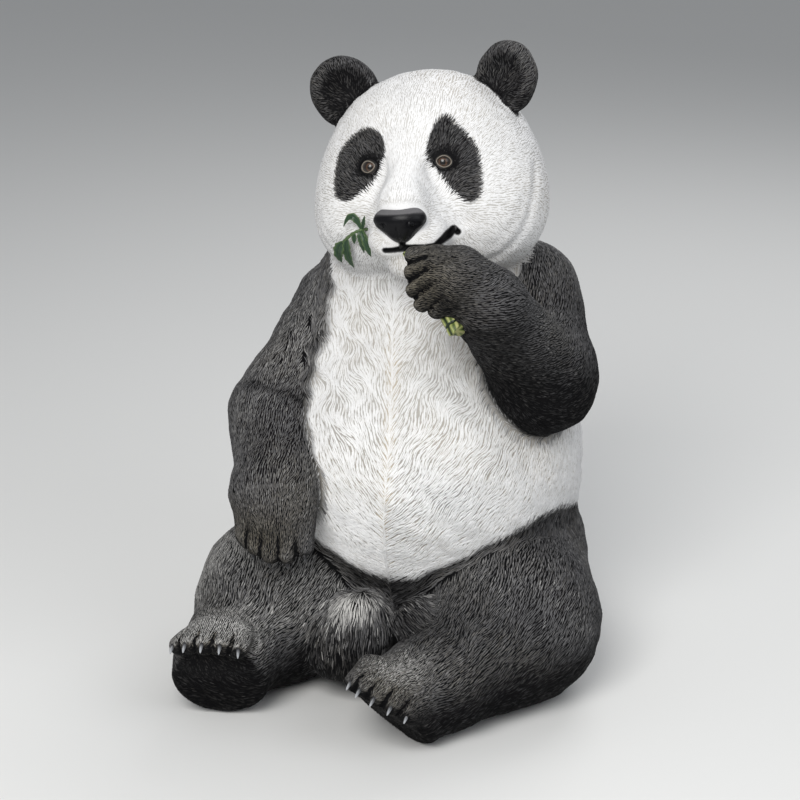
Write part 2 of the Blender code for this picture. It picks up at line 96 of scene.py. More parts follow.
studio = {
    "floor": (0.72, 0.72, 0.71), "floorSize": 60.0, "aim": (0, -0.1, 0.5),
    "sky": (0.93, 0.96, 1.0), "skyStrength": 0.34,
    "lamps": (("key", (-0.25, -3.1, 2.78), 1.8, 126.0, (1.0, 0.99, 0.97)),
              ("fill", (2.6, -1.6, 2.6), 2.2, 31.0, (0.95, 0.97, 1.0)),
              ("back", (0.8, 2.4, 3.2), 2.2, 45.0, (1.0, 1.0, 1.0))),
}


def setStudio():
    bpy.ops.mesh.primitive_plane_add(size=studio["floorSize"], location=(0, 0, -0.0005))
    floor = bpy.context.object
    floor.name = "floor"
    plain = bpy.data.materials.new("paleFloor")
    plain.use_nodes = True
    shader = plain.node_tree.nodes["Principled BSDF"]
    shader.inputs["Base Color"].default_value = (*studio["floor"], 1)
    shader.inputs["Roughness"].default_value = 0.9
    floor.data.materials.append(plain)
    scene.world = bpy.data.worlds.new("softSky")
    scene.world.use_nodes = True
    sky = scene.world.node_tree.nodes["Background"]
    sky.inputs["Color"].default_value = (*studio["sky"], 1)
    sky.inputs["Strength"].default_value = studio["skyStrength"]
    for name, place, size, power, colour in studio["lamps"]:
        lamp = linked(name, bpy.data.lights.new(name, "AREA"))
        lamp.location = place
        lamp.rotation_euler = (Vector(studio["aim"]) - Vector(place)).to_track_quat("-Z", "Y").to_euler()
        lamp.data.size, lamp.data.energy, lamp.data.color = size, power, colour
    scene.view_settings.view_transform = "Standard"


setCamera()
setStudio()
print("camera and lights set")


# the body as masses: each gives how far points are from it, and carries a rough shape to start the skin
# from and how softly it joins the others (below 0: how softly it is cut away)
def mass(gap, rough, blend):
    gap.rough, gap.blend = rough, blend
    return gap


def turned(yaw, roll, pitch):
    a, b, c = (math.radians(v) for v in (pitch, roll, yaw))
    aboutX = np.array([[1, 0, 0], [0, math.cos(a), -math.sin(a)], [0, math.sin(a), math.cos(a)]])
    aboutY = np.array([[math.cos(b), 0, math.sin(b)], [0, 1, 0], [-math.sin(b), 0, math.cos(b)]])
    aboutZ = np.array([[math.cos(c), -math.sin(c), 0], [math.sin(c), math.cos(c), 0], [0, 0, 1]])
    return aboutZ @ aboutY @ aboutX


def egg(centre, radii, turn=None, blend=0.0):
    centre, radii = np.array(centre, float), np.array(radii, float)
    turn = np.eye(3) if turn is None else turn

    def gap(points):
        local = (points - centre) @ turn
        near = np.sqrt(((local / radii) ** 2).sum(-1))
        slope = np.sqrt(((local / radii ** 2) ** 2).sum(-1)) + 1e-9
        return near * (near - 1) / slope

    def rough(bm):
        matrix = Matrix(turn.tolist()).to_4x4() @ Matrix.Diagonal((*radii, 1.0))
        matrix.translation = Vector(centre)
        bmesh.ops.create_icosphere(bm, subdivisions=4, radius=1.0, matrix=matrix)

    return mass(gap, rough, blend)


def limb(start, end, startRadius, endRadius, blend=0.0):
    start, end = np.array(start, float), np.array(end, float)
    axis = end - start

    def gap(points):
        share, off = alongStretch(points, start, end)
        return off - (startRadius + (endRadius - startRadius) * share)

    def rough(bm):
        for place, radius in ((start, startRadius), (end, endRadius)):
            bmesh.ops.create_icosphere(bm, subdivisions=3, radius=radius, matrix=Matrix.Translation(place))
        matrix = Vector(axis).to_track_quat("Z", "Y").to_matrix().to_4x4()
        matrix.translation = Vector((start + end) / 2)
        bmesh.ops.create_cone(bm, cap_ends=True, segments=24, radius1=startRadius, radius2=endRadius,
                              depth=float(np.linalg.norm(axis)), matrix=matrix)

    return mass(gap, rough, blend)


def flatCut(point, normal, blend):
    normal = np.array(normal, float) / np.linalg.norm(normal)
    return mass(lambda points: (np.array(point) - points) @ normal, None, -blend)


def smoothLeast(first, second, width):
    if width <= 0:
        return np.minimum(first, second)
    near = np.maximum(width - np.abs(first - second), 0) / width
    return np.minimum(first, second) - near * near * width * 0.25


def smoothMost(first, second, width):
    return -smoothLeast(-first, -second, width)


def joined(masses, blend=0.0):
    def gap(points):
        result = masses[0](points)
        for part in masses[1:]:
            near = part(points)
            if part.blend < 0:
                result = smoothMost(result, -near, -part.blend)
            else:
                result = smoothLeast(result, near, part.blend)
        return result

    def rough(bm):
        for part in masses:
            if part.blend >= 0:
                part.rough(bm)

    return mass(gap, rough, blend)


headPose = {"centre": (0.023, -0.045, 0.826), "turn": (-1.6, -6.2, -7.3)}
headTurn = turned(*headPose["turn"])
headCentre = np.array(headPose["centre"])


def onHead(x, y, z):
    return headCentre + headTurn @ np.array((x, y, z))


def inHead(points):
    return (points - headCentre) @ headTurn


armJoints = {
    "left": {"shoulder": (0.178, 0.0, 0.638), "elbow": (0.220, -0.118, 0.530),
             "wrist": (0.161, -0.300, 0.703), "paw": (0.118, -0.328, 0.754),
             "radii": (0.085, 0.083, 0.081, 0.056, 0.054, 0.049), "bend": 0.04,
             "digit": (0.0165, 0.0130), "swing": 0.62,
             "roots": ((0.086, -0.340, 0.789), (0.090, -0.350, 0.785), (0.095, -0.356, 0.770),
                       (0.105, -0.358, 0.753), (0.115, -0.355, 0.738)),
             "tips": ((0.053, -0.340, 0.788), (0.053, -0.350, 0.765), (0.058, -0.356, 0.741),
                      (0.071, -0.358, 0.719), (0.093, -0.351, 0.708))},
    "right": {"shoulder": (-0.135, 0.0, 0.592), "elbow": (-0.207, -0.110, 0.430),
              "wrist": (-0.187, -0.266, 0.365), "paw": (-0.174, -0.292, 0.335),
              "radii": (0.083, 0.089, 0.086, 0.068, 0.063, 0.054), "bend": 0.05,
              "digit": (0.021, 0.0175), "swing": -0.18,
              "roots": ((-0.216, -0.292, 0.350), (-0.198, -0.306, 0.343), (-0.175, -0.312, 0.338),
                        (-0.152, -0.308, 0.339), (-0.131, -0.296, 0.345)),
              "tips": ((-0.222, -0.320, 0.306), (-0.203, -0.330, 0.293), (-0.176, -0.336, 0.283),
                       (-0.149, -0.333, 0.283), (-0.124, -0.322, 0.294))},
}
legJoints = {
    "left": {"hip": (0.140, 0.02, 0.150), "knee": (0.190, -0.175, 0.128), "ankle": (0.108, -0.325, 0.090),
             "pads": (((0.050, -0.388, 0.070), (0.078, 0.064, 0.082), (0, 30, -24)),
                      ((0.072, -0.365, 0.105), (0.060, 0.072, 0.050), (0, 28, 0))),
             "sole": ((0.016, -0.440, 0.105), (-0.45, -0.68, -0.58)),
             "roots": ((0.000, -0.405, 0.138), (0.016, -0.413, 0.134), (0.036, -0.416, 0.125),
                       (0.058, -0.414, 0.113), (0.078, -0.408, 0.098)),
             "tips": ((-0.014, -0.452, 0.136), (0.002, -0.461, 0.130), (0.024, -0.463, 0.119),
                      (0.049, -0.459, 0.106), (0.072, -0.449, 0.090))},
    "right": {"hip": (-0.148, 0.02, 0.150), "knee": (-0.205, -0.175, 0.128), "ankle": (-0.243, -0.290, 0.095),
              "pads": (((-0.254, -0.368, 0.080), (0.080, 0.064, 0.088), (4, 0, -14)),
                       ((-0.254, -0.345, 0.122), (0.064, 0.072, 0.050), (0, 0, 0))),
              "sole": ((-0.256, -0.418, 0.130), (0.10, -0.90, -0.42)),
              "roots": ((-0.286, -0.385, 0.158), (-0.272, -0.390, 0.165), (-0.253, -0.392, 0.168),
                        (-0.233, -0.390, 0.167), (-0.216, -0.385, 0.160)),
              "tips": ((-0.303, -0.426, 0.154), (-0.282, -0.435, 0.163), (-0.256, -0.438, 0.167),
                       (-0.230, -0.435, 0.166), (-0.206, -0.426, 0.158))},
}


def digits(roots, tips, rootRadius, tipRadius):
    return [limb(root, tip, rootRadius, tipRadius, 0.018) for root, tip in zip(roots, tips)]


def armMasses(side):
    joints = armJoints[side]
    shoulder, elbow, wrist, paw = (joints[key] for key in ("shoulder", "elbow", "wrist", "paw"))
    radii = joints["radii"]
    hand = [limb(wrist, paw, *radii[4:])] + digits(joints["roots"], joints["tips"], *joints["digit"])
    forearm = limb(elbow, wrist, *radii[2:4], joints["bend"])
    return joined([limb(shoulder, elbow, *radii[:2]), forearm, joined(hand, 0.03)])


def legMasses(side):
    joints = legJoints[side]
    hip, knee, ankle = (joints[key] for key in ("hip", "knee", "ankle"))
    pads = [egg(centre, radii, turned(*turn), 0.03) for centre, radii, turn in joints["pads"]]
    foot = pads + [flatCut(*joints["sole"], 0.012)] + digits(joints["roots"], joints["tips"], 0.022, 0.0175)
    shin = limb(knee, ankle, 0.124, 0.085, 0.07)
    return joined([limb(hip, knee, 0.148, 0.131), shin, joined(foot, 0.03)], 0.03)


def headMasses():
    # skull, cheeks, muzzle, bridge, lips, chin and the sockets, which cut in
    def part(x, y, z, radii, blend=0.0):
        return egg(onHead(x, y, z), radii, headTurn, blend)

    masses = [part(0, 0.01, 0.018, (0.172, 0.165, 0.160))]
    masses += [part(0.085 * side, -0.02, -0.045, (0.100, 0.122, 0.100), 0.06) for side in (1, -1)]
    masses += [limb(onHead(0, -0.10, -0.040), onHead(0, -0.168, -0.052), 0.076, 0.050, 0.045),
               limb(onHead(0, -0.125, 0.045), onHead(0, -0.196, -0.012), 0.034, 0.034, 0.035)]
    masses += [part(0.027 * side, -0.172, -0.068, (0.036, 0.045, 0.033), 0.015) for side in (1, -1)]
    masses += [part(0, -0.150, -0.108, (0.042, 0.048, 0.030), 0.018)]
    masses += [part(0.064 * side, -0.178, 0.040, (0.030, 0.022, 0.028), -0.03) for side in (1, -1)]
    return joined(masses, 0.012)


def earCup(side, blend=0.0):
    # an ear's slant, and the hollow in its front
    turn = headTurn @ turned(-22 * side, 36 * side, 0)
    middle = onHead(0.132 * side, 0.0, 0.153 + 0.003 * side)
    return turn, middle, egg(middle + turn @ (0, -0.034, 0.004), (0.039, 0.026, 0.043), turn, blend)


def earMasses(side):
    turn, middle, cup = earCup(side, -0.012)
    return joined([egg(middle, (0.056, 0.026, 0.061), turn), cup], 0.010)


armFlesh = {side: armMasses(side) for side in ("left", "right")}
legFlesh = {side: legMasses(side) for side in ("left", "right")}
headFlesh = headMasses()
earFlesh = {1: earMasses(1), -1: earMasses(-1)}
trunkFlesh = joined([egg((0, 0.03, 0.185), (0.250, 0.235, 0.20)),
                     egg((0.003, -0.01, 0.355), (0.272, 0.272, 0.25), blend=0.08),
                     egg((0.01, 0.02, 0.54), (0.222, 0.20, 0.19), blend=0.10),
                     egg((0.02, 0.01, 0.68), (0.165, 0.15, 0.13), blend=0.08)])
tuftFlesh = joined([egg((-0.048, -0.264, 0.118), (0.072, 0.068, 0.074)),
                    egg((-0.086, -0.258, 0.096), (0.058, 0.062, 0.060), blend=0.03),
                    egg((0.045, -0.272, 0.155), (0.036, 0.040, 0.042), blend=0.014)], 0.020)
tailFlesh = joined([egg((0.0, 0.252, 0.085), (0.070, 0.058, 0.065))], 0.012)
for arm in armFlesh.values():
    arm.blend = 0.015
wholeBody = joined([trunkFlesh, legFlesh["left"], legFlesh["right"], armFlesh["left"], armFlesh["right"],
                    tuftFlesh, tailFlesh, headFlesh, earFlesh[1], earFlesh[-1]])


# fine forms that the masses don't have: lines that sink into the skin, as (line, width, depth)
def lineGap(points, line):
    nearest = np.full(len(points), 9.0)
    for start, end in zip(line, line[1:]):
        nearest = np.minimum(nearest, alongStretch(points, start, end)[1])
    return nearest


eyes = {"left": {"centre": (0.0545, -0.137, 0.0415), "side": 1},
        "right": {"centre": (-0.0603, -0.137, 0.0395), "side": -1}}
mouthHalf = ((0.0, -0.217, -0.0790), (0.0195, -0.217, -0.0775), (0.036, -0.213, -0.0785),
             (0.049, -0.203, -0.0775), (0.0595, -0.180, -0.0685), (0.0670, -0.160, -0.0590))
mouthRight = ((0.0, -0.217, -0.0790), (-0.015, -0.217, -0.0810), (-0.0285, -0.213, -0.0810))
faceLines = {
    "mouth": (mouthHalf, 0.0030, 0.0042),
    "mouthHook": (((0.0670, -0.160, -0.0590), (0.0722, -0.153, -0.0645)), 0.0024, 0.0026),
    "mouthSeam": (((0.0, -0.217, -0.0600), (0.0, -0.217, -0.0795)), 0.0026, 0.0022),
    "muzzleValley": (((0.036, -0.150, 0.034), (0.050, -0.155, 0.010), (0.066, -0.158, -0.010),
                      (0.078, -0.155, -0.030), (0.084, -0.148, -0.046)), 0.0120, 0.0060),
    "jawRoll": (((0.181, -0.040, 0.020), (0.179, -0.072, -0.030), (0.163, -0.090, -0.078),
                 (0.128, -0.098, -0.110), (0.090, -0.105, -0.130)), 0.0100, 0.0042),
    "jawRollInner": (((0.166, -0.085, -0.020), (0.150, -0.108, -0.060), (0.118, -0.118, -0.092)),
                     0.0110, 0.0013),
}


# folds pressed into the body, written the same way
bodyFolds = {
    "elbow": (((-0.261, -0.150, 0.504), (-0.228, -0.170, 0.508), (-0.206, -0.177, 0.507),
               (-0.182, -0.180, 0.502), (-0.162, -0.180, 0.493)), 0.0050, 0.0036),
    "chest": (((-0.132, -0.165, 0.552), (-0.096, -0.175, 0.571), (-0.072, -0.177, 0.587),
               (-0.046, -0.177, 0.599)), 0.0085, 0.0042),
}


def frontGap(local, line):
    # distance from a line as seen from in front of the face
    flat = local * (1, 0, 1)
    gap = lineGap(flat, tuple((x, 0, z) for x, y, z in line))
    return np.where(local[:, 1] < -0.12, gap, 9.0)


def bothSides(name):
    # a face line on the statue's left and the same on its right, where the mouth is shorter
    line = faceLines[name][0]
    if name == "mouth":
        return line, mouthRight
    return (line,) if "mouth" in name else (line, tuple((-x, y, z) for x, y, z in line))


def mouthGap(local):
    return np.minimum.reduce([frontGap(local, line) for name in ("mouth", "mouthHook", "mouthSeam")
                              for line in bothSides(name)])


def ripple(points, size, seed):
    # smooth waves of about this size, from about -1 to 1
    source = np.random.default_rng(seed)
    total = np.zeros(len(points))
    for _ in range(5):
        way = source.normal(size=3)
        way /= np.linalg.norm(way)
        phase = points @ way * (2 * math.pi / size) * source.uniform(0.7, 1.5)
        total += np.sin(phase + source.uniform(0, 6.3))
    return total / 5 ** 0.5


def eyeAxes(eye):
    # outward from the socket, sideways and up, in the head's own directions
    out = np.array((0.30 * eye["side"], -0.94, 0.17))
    out /= np.linalg.norm(out)
    across = np.cross(out, (0, 0, 1.0))
    across /= np.linalg.norm(across)
    return out, across, np.cross(across, out)


def partingAt(height):
    # the belly's parting, sideways, at each height
    return np.interp(height, (0.256, 0.334, 0.40, 0.461, 0.503, 0.546, 0.616),
                     (-0.0057, -0.0057, -0.0015, -0.001, -0.004, -0.005, -0.0136))


def onBelly(points):
    # where the parting shows, from 0 to 1
    return (smoothStep(points[:, 2], 0.20, 0.25) * smoothStep(-points[:, 2], -0.64, -0.56)
            * smoothStep(-points[:, 1], 0.12, 0.18))


lidLook = {"half": (0.0104, 0.0078), "point": 1.75, "tilt": 0.16, "sides": 64,
           "rows": (-0.0016, -0.0004, 0.0004, 0.0012, 0.0020, 0.0029, 0.0039, 0.0050, 0.0060)}


def lidOpening(turns):
    wide, high = lidLook["half"]
    power = lidLook["point"]
    return (np.abs(np.cos(turns) / wide) ** power + np.abs(np.sin(turns) / high) ** power) ** (-1 / power)


def aroundEye(local, eye):
    # how far points are outside the opening between the lids, and how far ahead of the eye's middle
    out, across, above = eyeAxes(eye)
    rel = local - np.array(eye["centre"])
    turns = np.arctan2(rel @ above, rel @ across) - lidLook["tilt"] * eye["side"]
    ahead = rel @ out
    return apart(rel, ahead[:, None] * out) - lidOpening(turns), ahead


digitRows = [(kind, np.array(joints["roots"]), np.array(joints["tips"]))
             for kind, joints in (("fist", armJoints["left"]), ("hand", armJoints["right"]),
                                  ("foot", legJoints["left"]), ("foot", legJoints["right"]))]
digitLook = {"crease": {"fist": (-0.05, 0.35), "hand": (0.30, 1.0), "foot": (0.35, 1.05)},
             "narrow": 0.0022, "broad": 0.0055}


def grooveDepth(points):
    # the creases between the digits: a narrow one and a broad one, from 0 to 1
    narrow, broad = np.zeros(len(points)), np.zeros(len(points))
    for kind, roots, tips in digitRows:
        near = apart(points, tips.mean(0)) < 0.10
        for a in range(4):
            root = (roots[a] + roots[a + 1]) / 2
            ahead = (tips[a] + tips[a + 1]) / 2 - root
            reach = np.linalg.norm(ahead)
            ahead /= reach
            across = tips[a + 1] - tips[a]
            across -= (across @ ahead) * ahead
            across /= np.linalg.norm(across)
            rel = points[near] - root
            share, side = rel @ ahead / reach, rel @ across
            rest = apart(rel - (share * reach)[:, None] * ahead, side[:, None] * across)
            window = smoothStep(share, *digitLook["crease"][kind]) * smoothStep(-rest, -0.040, -0.030)
            narrow[near] = np.maximum(narrow[near], hump(side, digitLook["narrow"]) * window)
            broad[near] = np.maximum(broad[near], hump(side, digitLook["broad"]) * window)
    return narrow, broad


# the skin's own forms, in metres: how high or deep, then how wide, and the seeds of its waves
reliefLook = {"waves": ((0.0012, 0.11, 21), (0.0006, 0.035, 22)), "faceWave": (0.0004, 0.030, 23),
              "lidSwell": (0.0030, 0.010), "socket": 0.0100, "creases": (0.0030, 0.0016),
              "parting": (0.0006, 0.0035)}


def relief(points):
    look, local = reliefLook, inHead(points)
    offHead = smoothStep(headFlesh(points), 0.0, 0.02)
    raised = offHead * sum(high * ripple(points, size, seed) for high, size, seed in look["waves"])
    high, size, seed = look["faceWave"]
    raised += (1 - offHead) * high * ripple(points, size, seed)
    onFace = (local[:, 1] < -0.02) & (np.linalg.norm(local, axis=-1) < 0.30)
    face = local[onFace]
    for name, (line, width, depth) in faceLines.items():
        for one in bothSides(name):
            gap = frontGap(face, one) if "mouth" in name else lineGap(face, one)
            raised[onFace] -= depth * hump(gap, width)
    for eye in eyes.values():
        off, ahead = aroundEye(face, eye)
        swell = look["lidSwell"][0] * hump(off, look["lidSwell"][1])
        hollow = look["socket"] * (1 - smoothStep(off, -0.0020, 0.0030))
        raised[onFace] += np.where(ahead > 0, swell - hollow, 0)
    for line, width, depth in bodyFolds.values():
        raised -= depth * hump(lineGap(points, line), width)
    for depth, crease in zip(look["creases"], grooveDepth(points)):
        raised -= depth * crease
    depth, width = look["parting"]
    return raised - depth * (hump(points[:, 0] - partingAt(points[:, 2]), width) * onBelly(points))


skinLook = {"coatDepth": 0.0018, "coarseCell": 0.010, "cell": 0.0058, "quickCell": 0.009,
            "lipEdge": 0.0022}


def skinGap(points):
    gap = wholeBody(points) + skinLook["coatDepth"] - relief(points)
    return np.maximum(gap, -points[:, 2] + 0.0004)


def newMesh(name, bm):
    mesh = bpy.data.meshes.new(name)
    bm.to_mesh(mesh)
    bm.free()
    return mesh


def remeshed(thing, cell):
    remesh = thing.modifiers.new("skin", "REMESH")
    remesh.mode = "VOXEL"
    remesh.voxel_size = cell
    bpy.context.view_layer.update()
    mesh = bpy.data.meshes.new_from_object(thing.evaluated_get(bpy.context.evaluated_depsgraph_get()))
    thing.modifiers.clear()
    thing.data = mesh
    return thing


def readout(rows, key, width, kind=float):
    found = np.empty(len(rows) * width, kind)
    rows.foreach_get(key, found)
    return found.reshape(-1, width)


def places(mesh):
    return readout(mesh.vertices, "co", 3)


def pressedOnto(thing, gapOf, steps, reach=0.0006):
    # move a mesh's points onto the surface where the gap is 0
    spots = places(thing.data)
    for _ in range(steps):
        here = gapOf(spots)
        slope = unit(np.stack([gapOf(spots + shift) - here for shift in np.eye(3) * reach], -1))
        spots -= np.clip(here, -0.02, 0.02)[:, None] * slope
    thing.data.vertices.foreach_set("co", spots.ravel())
    thing.data.update()


def halved(thing, wanted, longest=None):
    # halve the edges in one place, or only those that are longer than a limit
    bm = bmesh.new()
    bm.from_mesh(thing.data)
    keep = wanted(places(thing.data))
    ends = [(edge, keep[edge.verts[0].index], keep[edge.verts[1].index]) for edge in bm.edges]
    if longest is None:
        edges = [edge for edge, first, second in ends if first and second]
    else:
        edges = [edge for edge, first, second in ends if (first or second) and edge.calc_length() > longest]
    bmesh.ops.subdivide_edges(bm, edges=edges, cuts=1, use_grid_fill=True)
    if longest is not None:
        bmesh.ops.triangulate(bm, faces=[face for face in bm.faces if len(face.verts) > 4])
    bm.to_mesh(thing.data)
    bm.free()


def nearAny(points, spots, reach):
    return np.any([apart(points, spot) < reach for spot in spots], axis=0)


def nearPaws(points):
    return nearAny(points, [(roots.mean(0) + tips.mean(0)) / 2 for kind, roots, tips in digitRows], 0.085)


def nearDigits(points):
    return nearAny(points, [tips.mean(0) for kind, roots, tips in digitRows], 0.052)


def nearFace(points):
    local = inHead(points)
    return (np.linalg.norm(local, axis=-1) < 0.285) & (local[:, 1] < 0.03) & (local[:, 2] > -0.15)


def nearFeatures(points):
    local = inHead(points)
    near = (mouthGap(local) < 0.011) | nearAny(local, [eye["centre"] for eye in eyes.values()], 0.024)
    return near & (local[:, 1] < -0.09)


def nearLips(points):
    local = inHead(points)
    return (mouthGap(local) < 0.014) & (np.abs(headFlesh(points)) < 0.03)


def makeSkin():
    bm = bmesh.new()
    wholeBody.rough(bm)
    skin = remeshed(linked("skin", newMesh("skin", bm)), skinLook["coarseCell"])
    pressedOnto(skin, lambda points: wholeBody(points) + skinLook["coatDepth"], 3, 0.001)
    remeshed(skin, skinLook["cell"])
    halved(skin, lambda points: nearPaws(points) | nearFace(points))
    halved(skin, lambda points: nearFeatures(points) | nearDigits(points))
    pressedOnto(skin, skinGap, 1)
    for _ in range(2):
        halved(skin, nearLips, skinLook["lipEdge"])
    pressedOnto(skin, skinGap, 2)
    skin.data.shade_smooth()
    return skin


skin = makeSkin()
print("skin", len(skin.data.polygons), "faces")


# the eye patches' edges, each a closed smooth curve through these places on the face (from the middle, up)
eyePatch = {
    1: ((0.054, 0.109), (0.076, 0.089), (0.101, 0.058), (0.107, 0.025), (0.105, -0.012), (0.088, -0.021),
        (0.066, -0.007), (0.041, 0.027), (0.028, 0.049), (0.036, 0.084)),
    -1: ((0.060, 0.096), (0.040, 0.084), (0.031, 0.060), (0.045, 0.026), (0.064, 0.005), (0.101, -0.012),
         (0.121, -0.002), (0.123, 0.034), (0.114, 0.065), (0.084, 0.090)),
}
# where the other edges between black and white run, in metres
marks = {"backBand": 0.600, "bandHalf": 0.085, "legLine": 0.222, "legRise": 0.100, "hipDrop": 0.035,
         "airbrush": 0.0085, "faceEdge": 0.0022, "white": -0.05}


def inCurve(flat, stops, pieces=6):
    # distance inside a closed smooth curve: above 0 within it
    stops = np.array(stops)
    before, after, later = np.roll(stops, 1, 0), np.roll(stops, -1, 0), np.roll(stops, -2, 0)
    line = []
    for share in np.arange(pieces) / pieces:
        line.append(0.5 * (2 * stops + (after - before) * share
                           + (2 * before - 5 * stops + 4 * after - later) * share ** 2
                           + (3 * stops - before - 3 * after + later) * share ** 3))
    line = np.stack(line, 1).reshape(-1, 2)
    nearest = np.full(len(flat), 9.0)
    inside = np.zeros(len(flat), bool)
    for start, end in zip(line, np.roll(line, -1, 0)):
        axis = end - start
        nearest = np.minimum(nearest, alongStretch(flat, start, end)[1])
        spans = (flat[:, 1] < start[1]) != (flat[:, 1] < end[1])
        crossing = start[0] + (flat[:, 1] - start[1]) * axis[0] / (axis[1] if axis[1] else 1e-9)
        inside ^= spans & (flat[:, 0] < crossing)
    return np.where(inside, nearest, -nearest)


def mouthWidth(local):
    # half the painted lips' width: more in the middle and toward the corner, less at its end
    x = local[:, 0]
    wide = 0.0040 + 0.0018 * hump(x - 0.003, 0.008)
    return wide + 0.0011 * smoothStep(np.abs(x), 0.046, 0.062) - 0.0008 * smoothStep(np.abs(x), 0.070, 0.078)


def blackness(points):
    # above 0 where the paint is black, as a distance in metres
    local = inHead(points)
    headGap, trunkGap = headFlesh(points), trunkFlesh(points)
    black = np.full(len(points), marks["white"])
    for side in (1, -1):
        front = (local[:, 2] > -0.10) & (local[:, 1] < -0.05) & (local[:, 0] * side > 0) & (headGap < 0.03)
        flat = np.stack([local[front, 0] * side, local[front, 2]], -1)
        black[front] = np.maximum(black[front], inCurve(flat, eyePatch[side]))
        black = np.maximum(black, 0.004 - earFlesh[side](points) + 0.7 * np.clip(headGap, 0, 0.03))
    mouth = mouthWidth(local) - mouthGap(local)
    black = np.maximum(black, np.where(mouth > -0.001, mouth + 0.001, marks["white"]))
    x, y, z = points.T
    lift = np.clip(np.abs(x) / 0.26, 0, 1)
    line = marks["legLine"] + marks["legRise"] * (1 - np.cos(math.pi * lift)) / 2
    line -= marks["hipDrop"] * smoothStep(y, -0.12, 0.02)
    behind = np.sqrt(np.clip(1 - (np.maximum(y + 0.02, 0) / 0.20) ** 2, 0, 1))
    away = 0.7 * np.clip(np.minimum(trunkGap, headGap), 0, 0.03)
    legs = np.maximum(line * behind - z + np.where(behind > 0, 0, -0.1), 0.004 - tuftFlesh(points))
    for side in ("left", "right"):
        legs = np.maximum(legs, 0.002 - legFlesh[side](points) + away)
    # the black of the right arm runs on over the chest
    chest = smoothStep(z, 0.45, 0.60) * 0.027 + smoothStep(z, 0.60, 0.72) * 0.013
    armRight = 0.003 + chest - armFlesh["right"](points) + away
    armLeft = 0.003 - armFlesh["left"](points) + away
    half = marks["bandHalf"] - 0.020 * (1 - smoothStep(np.abs(x), 0.0, 0.16))
    band = np.minimum(half - np.abs(z - marks["backBand"]), (y - 0.015) * 0.8)
    limbs = np.maximum(legs, -smoothLeast(-band, -np.maximum(armLeft, armRight), 0.05))
    limbs[tailFlesh(points) < 0.006] = marks["white"]
    body = headGap > 0.004
    black[body] = np.maximum(black[body], limbs[body])
    return black


def covered(points, fray=0.0):
    # the black as a share from 0 to 1, with its sprayed edge
    soft = np.where(headFlesh(points) < 0.02, marks["faceEdge"], marks["airbrush"])
    value = blackness(points) + fray
    return smoothStep(value, -soft, soft)


# how much is brushed on and where it is left off, some of it as painted shade: toward the ground on the legs,
# in the elbow crease, in the ears' hollows and on faces turned down; the tuft's two spots are an amount, a
# place and a width
brushLook = {"plain": 0.50, "wave": 0.10, "most": 1.7, "tuft": (0.10, 0.42), "elbow": 0.40, "fist": 0.44,
             "face": 0.22, "lips": 1.5, "lids": 0.45, "sole": 1.2,
             "legs": {"left": (0.02, 0.60), "right": (0.26, 0.70)},
             "tuftTop": (1.60, (-0.058, -0.285, 0.198), 0.031),
             "tuftSide": (0.22, (0.045, -0.290, 0.160), 0.038),
             "digits": {"fist": -0.06, "hand": -0.06, "foot": 0.46}}


def dryBrush(points, normals):
    # how much grey or ochre is brushed over the black, from 0 to brushLook["most"]
    look = brushLook
    headGap, local = headFlesh(points), inHead(points)
    armGaps = {side: armFlesh[side](points) for side in armFlesh}
    dry = look["plain"] + look["wave"] * ripple(points, 0.22, 3)
    # painted shade: each leg's brushing fades toward the ground, where shade falls near the floor
    for side, (more, less) in look["legs"].items():
        onLeg = smoothStep(-legFlesh[side](points), -0.010, 0.0)
        dry += onLeg * (more - less * smoothStep(-points[:, 2], -0.17, -0.05))
    dry += 0.10 * smoothStep(-armGaps["right"], -0.010, 0.0)
    onTuft = smoothStep(-tuftFlesh(points), -0.012, -0.002)
    dry -= onTuft * (look["tuft"][0] + look["tuft"][1] * smoothStep(-points[:, 2], -0.175, -0.085))
    amount, place, wide = look["tuftTop"]
    dry += amount * (0.1 + 0.9 * onTuft) * hump(apart(points, place), wide)
    amount, place, wide = look["tuftSide"]
    dry -= amount * hump(apart(points, place), wide)
    # painted shade in the elbow crease
    dry -= look["elbow"] * hump(lineGap(points, bodyFolds["elbow"][0]), 0.0060)
    for kind, roots, tips in digitRows:
        dry += look["digits"][kind] * hump(apart(points, roots.mean(0)), 0.055)
    onFist = smoothStep(0.01 - armGaps["left"], 0, 0.01)
    dry -= look["fist"] * onFist * smoothStep(-points[:, 2], -0.64, -0.54)
    dry -= look["face"] * (headGap < 0.004)
    onFace = (np.abs(headGap) < 0.012) & (armGaps["left"] > 0.006)
    dry -= np.where(onFace, look["lips"] * (1 - smoothStep(mouthGap(local), 0.006, 0.012)), 0)
    for eye in eyes.values():
        off, ahead = aroundEye(local, eye)
        dry -= np.where(np.abs(ahead) < 0.04, look["lids"] * (1 - smoothStep(off, 0.004, 0.016)), 0)
    # the ears' hollows are left unbrushed, as dry-brushing leaves them, which also paints the shade in them
    for side in (1, -1):
        cup = earCup(side)[2](points)
        dry -= np.where(cup < 0.02, 0.40 - 0.34 * smoothStep(cup, 0.001, 0.008), 0)
    for joints in legJoints.values():
        dry -= look["sole"] * onSole(points, normals, joints)
    # painted shade: the brushing fades on faces turned downward, which lie in shade
    paintedTopLight = 0.25 + 0.75 * smoothStep(normals[:, 2], -0.6, 0.3)
    return np.clip(dry, 0, look["most"]) * (1 - 0.85 * grooveDepth(points)[0]) * paintedTopLight


def onSole(points, normals, joints):
    point, facing = np.array(joints["sole"][0]), unit(np.array(joints["sole"][1]))
    onto = smoothStep(normals @ facing, 0.10, 0.80) * smoothStep((points - point) @ facing, -0.024, -0.006)
    return (apart(points, point) < 0.16) * onto


